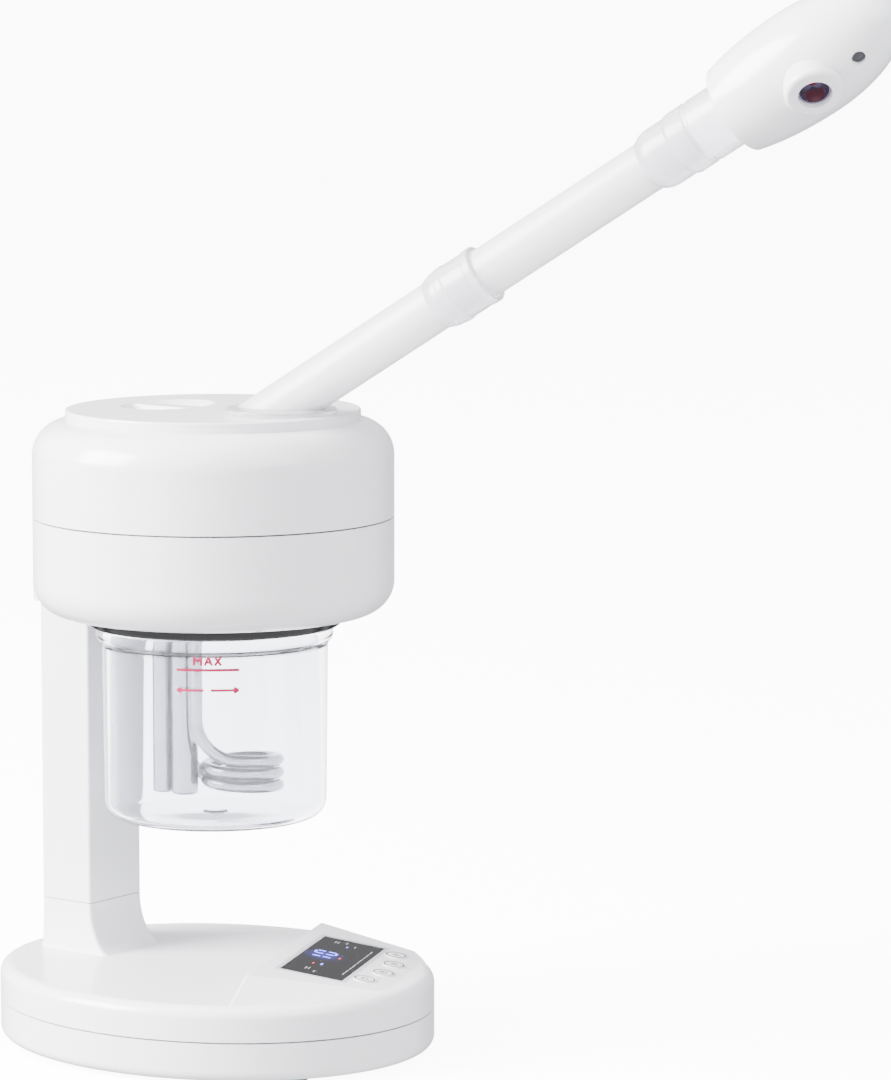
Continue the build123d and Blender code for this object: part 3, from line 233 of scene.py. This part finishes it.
def tube(name, path_mm, side, radius_mm, finish, body, stands_for=()):
    """A round tube along a path in millimetres. Its ring at each point is radius times the cosine of the angle along
    a side direction square to the path and the sine along the direction square to both. Its ends are capped."""
    ahead = np.gradient(path_mm, axis=0)
    ahead /= np.linalg.norm(ahead, axis=1, keepdims=True)
    side = side - (side * ahead).sum(1, keepdims=True) * ahead
    side /= np.linalg.norm(side, axis=1, keepdims=True)
    other = np.cross(ahead, side)
    angle = np.linspace(0, 2 * np.pi, TUBE_STEPS, endpoint=False)[None, :, None]
    rings = path_mm[:, None] + radius_mm * (np.cos(angle) * side[:, None] + np.sin(angle) * other[:, None])
    first = np.repeat(path_mm[:1, None], TUBE_STEPS, 1)
    last = np.repeat(path_mm[-1:, None], TUBE_STEPS, 1)
    points = np.concatenate([first, rings, last]) * MM
    faces = grid_faces(len(points), TUBE_STEPS, close_columns=True)
    return solid(name, points.reshape(-1, 3), faces, finish, body, stands_for=stands_for)


def printed(name, strokes_mm, width_mm, place, finish, body, height_mm=PRINT_HEIGHT, steps=STROKE_STEPS):
    """Raised print: each stroke is a straight bar (across, up, across, up, in mm) with a flat section, cut into steps
    along its length and laid on a surface by place, which takes across, up and height and gives points."""
    strokes = np.array(strokes_mm, float)
    start, end = strokes[:, :2], strokes[:, 2:4]
    width = np.broadcast_to(np.array(width_mm, float), len(strokes))[:, None]
    run = (end - start) / np.linalg.norm(end - start, axis=1, keepdims=True)
    edge = np.stack([-run[:, 1], run[:, 0]], 1) * width / 2
    t = np.linspace(0, 1, steps + 1)[None, :, None]
    line = start[:, None] + t * (end - start)[:, None]
    sides = np.stack([line - edge[:, None], line + edge[:, None], line + edge[:, None], line - edge[:, None]], 2)
    height = np.broadcast_to(np.array([0.0, 0.0, height_mm, height_mm]), sides.shape[:3])
    points = place(sides[..., 0], sides[..., 1], height).reshape(-1, 3)
    one = np.concatenate([grid_faces(steps + 1, 4, close_columns=True), [[0, 1, 2, 3]],
                          [[4 * steps + 3, 4 * steps + 2, 4 * steps + 1, 4 * steps]]])
    offsets = np.arange(len(strokes))[:, None, None] * 4 * (steps + 1)
    faces = (one[None] + offsets).reshape(-1, 4)
    return solid(name, points, faces, finish, body, smooth=False)


def arc_strokes(centre, radius, start, end, count):
    """Strokes along an arc, angles in degrees from across towards up."""
    angle = np.radians(np.linspace(start, end, count + 1))
    ring = np.stack([centre[0] + radius * np.cos(angle), centre[1] + radius * np.sin(angle)], 1)
    return np.concatenate([ring[:-1], ring[1:]], 1).tolist()


class SteamerSizes(bpy.types.PropertyGroup):
    """Sizes of the pieces that are made here, in metres."""
    round_steps: IntProperty(name="Round steps", description="Faces round a turned piece", default=160, min=24)
    corner_steps: IntProperty(name="Corner steps", description="Faces over one rounded corner", default=8, min=2)
    digit_height: FloatProperty(name="Digit height", description="Height of a lit digit", default=11 * MM,
                                unit="LENGTH")


def linear(code):
    """sRGB hex value to linear red, green and blue."""
    parts = np.array([int(code[i:i + 2], 16) for i in (1, 3, 5)]) / 255
    return tuple(np.where(parts <= 0.04045, parts / 12.92, ((parts + 0.055) / 1.055) ** 2.4))


def colour(name, text, default):
    """A colour property whose default is given as an sRGB hex value."""
    return FloatVectorProperty(name=name, description=text, subtype="COLOR", size=3, default=linear(default),
                               min=0, max=1)


class SteamerColours(bpy.types.PropertyGroup):
    """Colours of the finishes."""
    shell: colour("Shell", "Gloss white ABS", "#EBEBEF")
    panel: colour("Panel", "Satin white ABS of the keys", "#E8E8EA")
    bezel: colour("Bezel", "Grey display frame", "#B9BABD")
    window: colour("Window", "Smoked display window", "#0C0B0B")
    clear: colour("Clear", "Clear plastic", "#D6D7DD")
    frosted: colour("Frosted", "Frosted plastic tubes", "#F4F4F6")
    gasket: colour("Ring", "Gloss black jar ring", "#0A0A0B")
    chrome: colour("Chrome", "Polished heating tube", "#8F8F94")
    steel: colour("Steel", "Zinc plated steel", "#A9ABAE")
    red: colour("Outlet core", "Dark red lacquer", "#5A0A10")
    ink: colour("Ink", "Crimson print", "#A50F45")
    lit: colour("Digits", "Lit digits", "#4048F0")


# ------------------------------------------------------------------ materials

def add_node(tree, kind, settings=None, links=None):
    """Adds a node of a kind, sets its properties or input values, and links its inputs from other sockets."""
    node = tree.nodes.new(kind)
    for key, value in (settings or {}).items():
        if key in node.inputs:
            node.inputs[key].default_value = value
        else:
            setattr(node, key, value)
    for key, socket in (links or {}).items():
        tree.links.new(socket, node.inputs[key])
    return node


def new_material(name, values):
    """An empty material with one Principled shader set to values; returns it, its tree and the shader."""
    material = bpy.data.materials.new(name)
    material.use_nodes = True
    tree = material.node_tree
    tree.nodes.clear()
    shader = add_node(tree, "ShaderNodeBsdfPrincipled", values)
    add_node(tree, "ShaderNodeOutputMaterial", links={"Surface": shader.outputs[0]})
    return material, tree, shader


def surface_grain(tree, shader, grain_mm, depth_mm, roughness, spread):
    """Moulding texture: a fine bump of grain_mm, and roughness that wanders by spread over a few centimetres."""
    place = add_node(tree, "ShaderNodeTexCoord")
    fine = add_node(tree, "ShaderNodeTexNoise", {"Scale": 1000 / grain_mm, "Detail": 2.0},
                    {"Vector": place.outputs["Object"]})
    bump = add_node(tree, "ShaderNodeBump", {"Strength": 0.4, "Distance": depth_mm * MM},
                    {"Height": fine.outputs["Fac"]})
    tree.links.new(bump.outputs[0], shader.inputs["Normal"])
    broad = add_node(tree, "ShaderNodeTexNoise", {"Scale": 1000 / 35, "Detail": 3.0},
                     {"Vector": place.outputs["Object"]})
    vary = add_node(tree, "ShaderNodeMapRange", {"To Min": roughness - spread, "To Max": roughness + spread},
                    {"Value": broad.outputs["Fac"]})
    tree.links.new(vary.outputs[0], shader.inputs["Roughness"])


def opaque(name, base, roughness, grain_mm=1.2, depth_mm=0.01, spread=0.03, **extra):
    """A moulded, pressed or printed finish: one colour, fine grain, and its own roughness."""
    values = {"Base Color": (*base, 1), "Roughness": roughness, **extra}
    material, tree, shader = new_material(name, values)
    surface_grain(tree, shader, grain_mm, depth_mm, roughness, spread)
    return material


def see_through(name, base, roughness, ior, weight=1.0, grain_mm=3.0, depth_mm=0.004, spread=0.01, **extra):
    """A clear or frosted plastic: light goes through weight of it."""
    values = {"Base Color": (*base, 1), "Roughness": roughness, "IOR": ior, "Transmission Weight": weight, **extra}
    material, tree, shader = new_material(name, values)
    surface_grain(tree, shader, grain_mm, depth_mm, roughness, spread)
    return material


def smoked_window(base, glow):
    """Tinted acrylic: dark and smooth, with little glare, and a painted glow of blue round the lit digits: emission
    that stands in for their light spreading in the acrylic and fades to nothing a digit's height away."""
    material, tree, shader = new_material("smoked acrylic window with painted glow", {
        "Base Color": (*base, 1), "IOR": 1.15, "Specular IOR Level": 0.3, "Emission Color": (*glow, 1)})
    surface_grain(tree, shader, 3.0, 0.002, 0.16, 0.03)
    # painted glow: emission on the window fades out from the digits' middle, standing in for their light in the
    # acrylic
    centre = middle("display_window") + DIGITS_AT[0] * MM * PANEL_ACROSS + DIGITS_AT[1] * MM * PANEL_IN
    reach = GLOW_REACH * MM
    place = add_node(tree, "ShaderNodeTexCoord")
    shift = add_node(tree, "ShaderNodeMapping", {"Location": tuple(-centre / reach), "Scale": (1 / reach,) * 3},
                     {"Vector": place.outputs["Object"]})
    ball = add_node(tree, "ShaderNodeTexGradient", {"gradient_type": "QUADRATIC_SPHERE"},
                    {"Vector": shift.outputs["Vector"]})
    painted_glow = add_node(tree, "ShaderNodeMath", {"operation": "MULTIPLY"}, {0: ball.outputs["Fac"]})
    painted_glow.inputs[1].default_value = 0.9
    tree.links.new(painted_glow.outputs[0], shader.inputs["Emission Strength"])
    return material


def make_materials():
    """Every finish of the steamer by a short name."""
    paint = bpy.context.scene.steamer_colours
    return {
        # injection-moulded ABS from a polished tool: bright, with soft reflections
        "shell": opaque("gloss white ABS", paint.shell, 0.2, 1.5, 0.006, 0.04, **{"IOR": 1.53}),
        "panel": opaque("satin white ABS", paint.panel, 0.38, 0.9, 0.01, 0.03, **{"IOR": 1.53}),
        "bezel": opaque("grey ABS bezel", paint.bezel, 0.35, 0.8, 0.01, 0.04, **{"IOR": 1.53}),
        # tinted acrylic: dark, very smooth, with a painted glow round the digits
        "window": smoked_window(paint.window, paint.lit),
        # clear polycarbonate, flame-smooth
        "clear": see_through("clear polycarbonate", paint.clear, 0.04, 1.45, 1.0),
        "collar": see_through("hazy polycarbonate collar", linear("#EFEFF3"), 0.22, 1.45, 0.7),
        # polypropylene tube, sand-blasted tool: milky
        "frosted": see_through("frosted polypropylene tube", paint.frosted, 0.3, 1.4, 0.5, 1.0, 0.01, 0.05),
        "ring": opaque("gloss black ABS", paint.gasket, 0.1, 2.0, 0.004, 0.03, **{"IOR": 1.53}),
        "chrome": opaque("polished stainless tube", paint.chrome, 0.1, 2.0, 0.01, 0.04, **{"Metallic": 1.0}),
        "steel": opaque("zinc plated steel", paint.steel, 0.35, 0.5, 0.02, 0.08, **{"Metallic": 1.0}),
        "board": opaque("green solder mask", linear("#1B5E3A"), 0.45, 0.8, 0.02),
        "black": opaque("black nylon", linear("#1B1B1C"), 0.5, 0.7, 0.03),
        "rubber": opaque("grey rubber", linear("#3A3B3D"), 0.75, 0.6, 0.05, 0.08),
        "silicone": opaque("translucent silicone", linear("#D8D8D6"), 0.5, 1.0, 0.02),
        "cable": opaque("grey PVC wire", linear("#6C6D70"), 0.5, 0.6, 0.02),
        "lamp": see_through("quartz lamp glass", linear("#DDE3F7"), 0.05, 1.46, 0.9),
        # painted glow: the two pieces down in the outlet emit a little light, painted in to stand for the light that
        # the white nozzle passes on to them
        "core": opaque("dark red lacquer with painted glow", paint.red, 0.12, 3.0, 0.003, 0.04,
                       **{"Coat Weight": 0.5, "Emission Color": (*linear("#8E0E16"), 1), "Emission Strength": 0.7}),
        # painted glow: the liner's emission stands in for light thrown into the outlet by the nozzle
        "liner": opaque("dark chrome liner with painted glow", linear("#8A8496"), 0.16, 2.0, 0.005, 0.05,
                        **{"Metallic": 1.0, "Emission Color": (*linear("#5A5260"), 1), "Emission Strength": 0.35}),
        "ink": opaque("crimson screen print", paint.ink, 0.5, 0.4, 0.01),
        "grey_ink": opaque("dark grey screen print", linear("#3C3D41"), 0.5, 0.4, 0.01),
        "white_ink": opaque("white screen print", linear("#A9A59F"), 0.5, 0.4, 0.01),
        "lit_blue": opaque("blue light segment", paint.lit, 0.4, **{"Emission Color": (*linear("#8C8CFF"), 1),
                                                                   "Emission Strength": 4.0}),
        "lit_red": opaque("red light segment", linear("#E8452E"), 0.4,
                          **{"Emission Color": (*linear("#E8452E"), 1), "Emission Strength": 1.5}),
        "sweep": opaque("back-lit white sweep", linear("#FEFEFE"), 0.6, 3.0, 0.01,
                        **{"Emission Color": (1, 1, 1, 1), "Emission Strength": 9.0}),
    }


CAD_FINISH = {
    "shell": ("base_bottom_cover", "base_top_housing", "column_shell", "column_rear_cover", "head_lower_shell",
              "head_upper_shell", "head_block", "cap_disc", "nozzle_upper_shell", "nozzle_lower_shell",
              "outlet_ring"),
    "panel": ("button_1", "button_2", "button_3", "button_4"),
    "bezel": ("display_frame",),
    "window": ("display_window",),
    "clear": ("jar",),
    "collar": ("arm_socket", "mid_collar", "nozzle_adaptor"),
    "frosted": ("lower_tube", "upper_tube"),
    "ring": ("jar_ring",),
    "chrome": ("heating_element", "probe_sheath", "level_probe"),
    "steel": ("base_screws", "board_screws", "head_screws", "column_screws", "flange_screws", "column_core",
              "heater_flange", "thermostat", "thermal_fuse", "retaining_clip"),
    "board": ("control_board", "power_board"),
    "black": ("display_module", "button_switches", "terminal_block", "lamp_holder", "swivel_bush"),
    "rubber": ("rubber_feet", "cord_gland"),
    "silicone": ("jar_seal", "swivel_seal", "steam_chamber"),
    "cable": ("wiring_harness",),
    "lamp": ("ozone_lamp",),
    "core": ("outlet_core",),
    "liner": ("outlet_liner",),
}
FINISH = {}


class STEAMER_OT_finishes(bpy.types.Operator):
    """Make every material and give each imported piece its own"""
    bl_idname = "steamer.finishes"
    bl_label = "Finishes"

    def execute(self, context):
        FINISH.update(make_materials())
        for finish, names in CAD_FINISH.items():
            for name in names:
                mesh = frame["nodes"][name].data
                mesh.materials.clear()
                mesh.materials.append(FINISH[finish])
        return {"FINISHED"}


# ------------------------------------------------------------------ jar and heater

class STEAMER_OT_jar(bpy.types.Operator):
    """Blow the clear jar: a cup with a shouldered band and a neck that goes up into the head"""
    bl_idname = "steamer.jar"
    bl_label = "Water jar"

    def execute(self, context):
        low, high = (np.array(corner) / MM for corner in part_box("jar"))
        band = (high[0] - low[0]) / 2
        bottom, top = low[2], high[2]
        shoulder = bottom + JAR_SHOULDER
        band_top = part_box("jar_ring")[0][2] / MM - JAR_RING_GAP
        neck, foot, body = band - JAR_NECK_IN, band - JAR_FOOT_IN, band - JAR_BODY_IN
        inside, floor = neck - JAR_WALL, bottom + JAR_WALL
        dimple_foot, dimple_top, dimple_height = JAR_DIMPLE
        outline = [(0, bottom), (foot, bottom), (body, shoulder), (band, shoulder + JAR_BAND_RISE), (band, band_top),
                   (neck, band_top), (neck, top), (inside, top), (inside, shoulder),
                   (foot - JAR_WALL, floor), (dimple_foot, floor), (dimple_top, floor + dimple_height),
                   (0, floor + dimple_height)]
        radii = [0, 9.0, 1.4, 1.4, 0.8, 0.5, 0.7, 0.7, 6.0, 6.4, 0.3, 0.3, 0]
        turned("water_jar", rounded(outline, radii, context.scene.steamer_sizes.corner_steps), np.zeros(3), UP,
               "clear", "jar", stands_for=("jar",))
        return {"FINISHED"}


class STEAMER_OT_heater(bpy.types.Operator):
    """Bend the heating tube: down, out, two and a half turns, back and up"""
    bl_idname = "steamer.heater"
    bl_label = "Heating tube"

    def execute(self, context):
        turn = np.radians(HEATER_TURN)
        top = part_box("heating_element")[1][2] / MM
        low = COIL_TOP - COIL_PITCH * COIL_TURNS
        fall = np.linspace(0, 1, 40)[:, None]
        quarter = np.linspace(0, np.pi / 2, 24)
        level_run = np.full(24, COIL_RADIUS)
        down = (np.array([LEG_FRONT, -COIL_RADIUS, top])
                + fall * np.array([0, 0, COIL_TOP + LEG_BEND - top]))
        out = np.stack([LEG_FRONT + LEG_BEND - LEG_BEND * np.cos(quarter), -level_run,
                        COIL_TOP + LEG_BEND - LEG_BEND * np.sin(quarter)], 1)
        along = np.linspace(0, 1, COIL_STEPS)
        angle = -np.pi / 2 + 2 * np.pi * COIL_TURNS * along
        coil = np.stack([COIL_CENTRE + COIL_RADIUS * np.cos(angle), COIL_RADIUS * np.sin(angle),
                         COIL_TOP - COIL_PITCH * COIL_TURNS * along], 1)
        run = np.linspace(0, 1, 12)[1:-1, None]
        home = coil[-1] + run * (np.array([LEG_BACK + LEG_BEND, COIL_RADIUS, low]) - coil[-1])
        up_bend = np.stack([LEG_BACK + LEG_BEND - LEG_BEND * np.sin(quarter), level_run,
                            low + LEG_BEND - LEG_BEND * np.cos(quarter)], 1)
        rise = up_bend[-1] + fall[1:] * (np.array([LEG_BACK, COIL_RADIUS, top]) - up_bend[-1])
        path = np.concatenate([down, out[1:], coil[1:], home, up_bend, rise])
        side = np.zeros_like(path)
        side[:, 1] = -1
        start = len(down) + len(out) - 1
        end = start + COIL_STEPS - 1
        side[start:end, :2] = coil[1:, :2] - [COIL_CENTRE, 0]
        side[end:, 1] = 1
        spin = np.array([[np.cos(turn), np.sin(turn), 0], [-np.sin(turn), np.cos(turn), 0], [0, 0, 1]])
        tube("heating_tube", path @ spin, side @ spin, HEATER_RADIUS, "chrome", "stand",
             stands_for=("heating_element",))
        return {"FINISHED"}


# ------------------------------------------------------------------ arm

class STEAMER_OT_arm(bpy.types.Operator):
    """Turn the upper frosted tube, the clear collar at its lower end and the stepped adaptor in the nozzle's neck"""
    bl_idname = "steamer.arm"
    bl_label = "Steam arm"

    def execute(self, context):
        steps = context.scene.steamer_sizes.corner_steps
        upper_edges = [UPPER_TUBE_EDGE] * len(UPPER_TUBE)
        turned("upper_arm_tube", rounded(UPPER_TUBE, upper_edges, steps), ARM_POINT, ARM_AXIS, "frosted",
               "upper_arm", stands_for=("upper_tube",))
        turned("arm_collar", rounded(COLLAR, COLLAR_EDGES, steps), ARM_POINT, ARM_AXIS, "collar", "arm",
               stands_for=("mid_collar",))
        turned("nozzle_neck_adaptor", rounded(ADAPTOR, ADAPTOR_EDGES, steps), ARM_POINT, ARM_AXIS, "collar",
               "upper_arm", stands_for=("nozzle_adaptor",))
        return {"FINISHED"}


# ------------------------------------------------------------------ panel marks

def on_panel(surface):
    """A function that lays across, up and height in mm on the panel at a surface level in metres."""
    origin = middle("display_window")
    origin = origin + (surface - origin @ PANEL_NORMAL) * PANEL_NORMAL

    def place(right, up, height):
        """Across the panel, towards the column, and out of its face."""
        return (origin + right[..., None] * MM * PANEL_ACROSS + up[..., None] * MM * PANEL_IN
                + height[..., None] * MM * PANEL_NORMAL)
    return place


def digit_strokes(lit, left, bottom, wide, tall):
    """Strokes of a seven-bar digit; lit names its bars: top, middle, bottom, and left and right, upper and lower."""
    half = tall / 2
    bars = {"t": (0.8, tall, wide - 0.8, tall), "m": (0.8, half, wide - 0.8, half), "b": (0.8, 0, wide - 0.8, 0),
            "ul": (0, half + 0.8, 0, tall - 0.8), "ll": (0, 0.8, 0, half - 0.8),
            "ur": (wide, half + 0.8, wide, tall - 0.8), "lr": (wide, 0.8, wide, half - 0.8)}
    return [(left + bars[bar][0], bottom + bars[bar][1], left + bars[bar][2], bottom + bars[bar][3]) for bar in lit]


class STEAMER_OT_display(bpy.types.Operator):
    """Light the two digits and the small marks behind the window, and print its rows of dashes"""
    bl_idname = "steamer.display"
    bl_label = "Display"

    def execute(self, context):
        place = on_panel(level("display_window", PANEL_NORMAL))
        tall = context.scene.steamer_sizes.digit_height / MM
        digits = digit_strokes(("ur", "lr"), -6.0, DIGITS_AT[1] - tall / 2, 5.5, tall)
        digits += digit_strokes(("t", "b", "ul", "ll", "ur", "lr"), 5.5, DIGITS_AT[1] - tall / 2, 5.5, tall)
        printed("display_digits", digits, DIGIT_WIDTH, place, "lit_blue", "stand")
        printed("display_blue_marks", [(-17.6, 1.6, -14.4, 1.6), (27.0, 0.5, 28.4, 0.5)], BLUE_MARK_WIDTH,
                place, "lit_blue", "stand")
        printed("display_red_marks", [(-18.0, 5.9, -15.6, 5.9), (0.9, -2.9, 3.3, -2.9)], RED_MARK_WIDTH,
                place, "lit_red", "stand")
        dashes = [(x, -13.0, x + run, -13.0) for x, run in ((-28, 4), (-22.6, 6), (-15, 4), (-9.6, 6), (-2, 4),
                                                          (3.4, 7), (12, 4), (17.4, 5), (24, 4.6))]
        dashes += [(x - 1.8, y, x + 1.8, y) for x, y in ((-28.8, 6.2), (-32.7, 0.8), (33.8, 8.4), (34.9, 2.6),
                                                       (30.5, -3.1), (-28.8, 4.6), (33.8, 6.8))]
        printed("display_dashes", dashes, DASH_WIDTH, place, "white_ink", "stand")
        return {"FINISHED"}


class STEAMER_OT_buttons(bpy.types.Operator):
    """Print a ring and a small sign on each button"""
    bl_idname = "steamer.buttons"
    bl_label = "Button marks"

    def execute(self, context):
        signs = (
            arc_strokes((0, 0), 1.7, 120, 420, 20) + [(0, 0.4, 0, 2.2)],
            arc_strokes((0, 0), 1.9, 0, 360, 20) + [(0, 0, 0, 1.2), (0, 0, 0.9, 0)],
            [(x, -1.6, x + 0.5, 0) for x in (-1.4, 0, 1.4)] + [(x + 0.5, 0, x, 1.6) for x in (-1.4, 0, 1.4)],
            arc_strokes((0, 0), 1.0, 0, 360, 14) + [(0, 1.6, 0, 2.2), (0, -1.6, 0, -2.2), (1.6, 0, 2.2, 0),
                                                    (-1.6, 0, -2.2, 0)],
        )
        for button, sign in zip(BUTTONS, signs):
            face = level(button, PANEL_NORMAL)
            centre = middle(button)
            shift = centre - middle("display_window")
            right, up = shift @ PANEL_ACROSS / MM, shift @ PANEL_IN / MM
            place = on_panel(face)

            def on_button(a, b, h, right=right, up=up, place=place):
                """Across and up from the button's own centre."""
                return place(a + right, b + up, h)
            printed(f"{button}_sign", sign, SIGN_WIDTH, on_button, "grey_ink", button, steps=2)
            printed(f"{button}_ring", arc_strokes((0, 0), RING_RADIUS, 0, 360, 64), RING_WIDTH, on_button,
                    "grey_ink", button, steps=1)
        return {"FINISHED"}


# ------------------------------------------------------------------ jar print

class STEAMER_OT_jar_print(bpy.types.Operator):
    """Print the fill line, the word MAX and two arrows on the jar"""
    bl_idname = "steamer.jar_print"
    bl_label = "Jar print"

    def execute(self, context):
        low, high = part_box("jar")
        radius = (high[0] - low[0]) / 2 - JAR_BODY_IN * MM
        heading = np.radians(JAR_PRINT_HEADING)

        def on_jar(right, up, height):
            """Right is an arc length round the jar, up is along its axis."""
            angle = heading + right * MM / radius
            out = radius - JAR_PRINT_SINK * MM + height * MM
            return np.stack([out * np.cos(angle), out * np.sin(angle), (JAR_LEVEL + up) * MM], -1)
        level_line = [(-15.9, 0, 15.9, 0)]
        letters = [(-7, 2.4, -7, 6.8), (-7, 6.8, -5.2, 4.2), (-5.2, 4.2, -3.4, 6.8), (-3.4, 6.8, -3.4, 2.4),
                   (-1.6, 2.4, 0.2, 6.8), (0.2, 6.8, 2.0, 2.4), (-0.9, 4.0, 1.3, 4.0),
                   (3.4, 2.4, 6.6, 6.8), (3.4, 6.8, 6.6, 2.4)]
        arrows = [(-15.9, -10.3, -2.3, -10.3), (-15.9, -10.3, -13.5, -9.0), (-15.9, -10.3, -13.5, -11.6),
                  (1.3, -10.3, 15.5, -10.3), (15.5, -10.3, 13.1, -9.0), (15.5, -10.3, 13.1, -11.6)]
        strokes = np.array(level_line + letters + arrows)
        widths = [LEVEL_LINE_WIDTH] + [LETTER_WIDTH] * (len(letters) + len(arrows))
        printed("jar_print", strokes, widths, on_jar, "ink", "jar", height_mm=JAR_PRINT_HEIGHT)
        return {"FINISHED"}


# ------------------------------------------------------------------ stage

def studio_air():
    """A world that is dim at eye level and brighter overhead and below, so that gloss and chrome have something to
    show: its strength follows how steeply a ray looks up or down."""
    world = bpy.data.worlds.new("studio air")
    world.use_nodes = True
    tree = world.node_tree
    tree.nodes.clear()
    place = add_node(tree, "ShaderNodeTexCoord")
    split = add_node(tree, "ShaderNodeSeparateXYZ", links={"Vector": place.outputs["Generated"]})
    ramp = add_node(tree, "ShaderNodeValToRGB", links={"Fac": add_node(
        tree, "ShaderNodeMapRange", {"From Min": -1.0, "From Max": 1.0}, {"Value": split.outputs["Z"]}).outputs[0]})
    for spot in ramp.color_ramp.elements:
        spot.color = (1, 1, 1, 1)
    for stop, shade in ((0.42, "#E4E4E8"), (0.52, "#A9A9AF"), (0.62, "#D9D9DD")):
        ramp.color_ramp.elements.new(stop).color = (*linear(shade), 1)
    # two dark flags stand behind the steamer, seen only as stripes near the edges of round shiny pieces
    behind = add_node(tree, "ShaderNodeVectorMath", {"operation": "DOT_PRODUCT"}, {0: place.outputs["Generated"]})
    behind.inputs[1].default_value = (0.8, 0.6, 0.0)
    flags = add_node(tree, "ShaderNodeValToRGB", links={"Fac": behind.outputs["Value"]})
    for spot in flags.color_ramp.elements:
        spot.color = (1, 1, 1, 1)
    for stop, shade in ((0.2, "#FFFFFF"), (0.4, "#6C6C72"), (0.55, "#F0F0F2"), (0.7, "#5E5E64"), (0.9, "#8A8A90")):
        flags.color_ramp.elements.new(stop).color = (*linear(shade), 1)
    both = add_node(tree, "ShaderNodeMix", {"data_type": "RGBA", "blend_type": "MULTIPLY"})
    both.inputs["Factor"].default_value = 1.0
    tree.links.new(ramp.outputs["Color"], both.inputs[6])
    tree.links.new(flags.outputs["Color"], both.inputs[7])
    glow = add_node(tree, "ShaderNodeBackground", {"Strength": 2.5}, {"Color": both.outputs[2]})
    add_node(tree, "ShaderNodeOutputWorld", links={"Surface": glow.outputs[0]})
    return world


class STEAMER_OT_stage(bpy.types.Operator):
    """Lay a pale sweep, hang soft lights and set the camera"""
    bl_idname = "steamer.stage"
    bl_label = "Stage"

    def execute(self, context):
        scene = context.scene
        # floor: flat near the object, curling up far behind it all round, a bowl whose height goes with the square
        ring = np.linspace(0, 1, 40)[:, None]
        angle = np.linspace(0, 2 * np.pi, 96, endpoint=False)[None, :]
        reach = FLOOR_RADIUS * ring
        height = np.clip(reach - FLOOR_FLAT, 0, None) ** 2 * FLOOR_CURL + 0 * angle
        points = np.stack([reach * np.cos(angle), reach * np.sin(angle), height], -1)
        mesh = bpy.data.meshes.new("sweep")
        mesh.from_pydata(points.reshape(-1, 3).tolist(), [], grid_faces(40, 96, close_columns=True).tolist())
        weld(mesh)
        mesh.flip_normals()
        mesh.polygons.foreach_set("use_smooth", np.full(len(mesh.polygons), True))
        mesh.materials.append(FINISH["sweep"])
        floor = bpy.data.objects.new("sweep", mesh)
        scene.collection.objects.link(floor)
        # the sweep is lit from behind like a shooting table, and its glow isn't thrown back on the steamer
        floor.visible_diffuse = False
        floor.visible_glossy = False

        scene.world = studio_air()

        target = Vector(LIGHTS_AIM)
        for name, place, size, power in SOFTBOXES:
            lamp = bpy.data.lights.new(name, "AREA")
            lamp.shape = "SQUARE"
            lamp.size = size
            lamp.energy = power
            item = bpy.data.objects.new(name, lamp)
            item.location = place
            item.rotation_euler = (target - Vector(place)).to_track_quat("-Z", "Y").to_euler()
            scene.collection.objects.link(item)

        eye = bpy.data.cameras.new("camera")
        eye.sensor_width = SENSOR
        eye.lens = LENS_SHARE * SENSOR
        eye.clip_start, eye.clip_end = 0.05, 50
        camera = bpy.data.objects.new("camera", eye)
        camera.location = CAMERA_PLACE
        camera.rotation_euler = np.radians(CAMERA_TURN)
        scene.collection.objects.link(camera)
        scene.camera = camera
        return {"FINISHED"}


# ------------------------------------------------------------------ add-on

STEPS = ("finishes", "jar", "heater", "arm", "display", "buttons", "jar_print", "stage")


class STEAMER_PT_panel(bpy.types.Panel):
    """Lists the pieces in the order they are made"""
    bl_idname = "STEAMER_PT_panel"
    bl_label = "Facial steamer"
    bl_space_type = "VIEW_3D"
    bl_region_type = "UI"
    bl_category = "Steamer"

    def draw(self, context):
        for group in (context.scene.steamer_sizes, context.scene.steamer_colours):
            for key in group.__annotations__:
                self.layout.prop(group, key)
        for step in STEPS:
            self.layout.operator(f"steamer.{step}")


CLASSES = (SteamerSizes, SteamerColours, STEAMER_OT_finishes, STEAMER_OT_jar, STEAMER_OT_heater, STEAMER_OT_arm,
           STEAMER_OT_display, STEAMER_OT_buttons, STEAMER_OT_jar_print, STEAMER_OT_stage, STEAMER_PT_panel)


def register():
    """Adds the classes and the scene's sizes and colours."""
    for cls in CLASSES:
        bpy.utils.register_class(cls)
    bpy.types.Scene.steamer_sizes = PointerProperty(type=SteamerSizes)
    bpy.types.Scene.steamer_colours = PointerProperty(type=SteamerColours)


def unregister():
    """Takes them away again."""
    del bpy.types.Scene.steamer_colours
    del bpy.types.Scene.steamer_sizes
    for cls in reversed(CLASSES):
        bpy.utils.unregister_class(cls)


def main():
    """Makes every piece and the stage."""
    register()
    for step in STEPS:
        getattr(bpy.ops.steamer, step)()


if __name__ == "__main__":
    main()
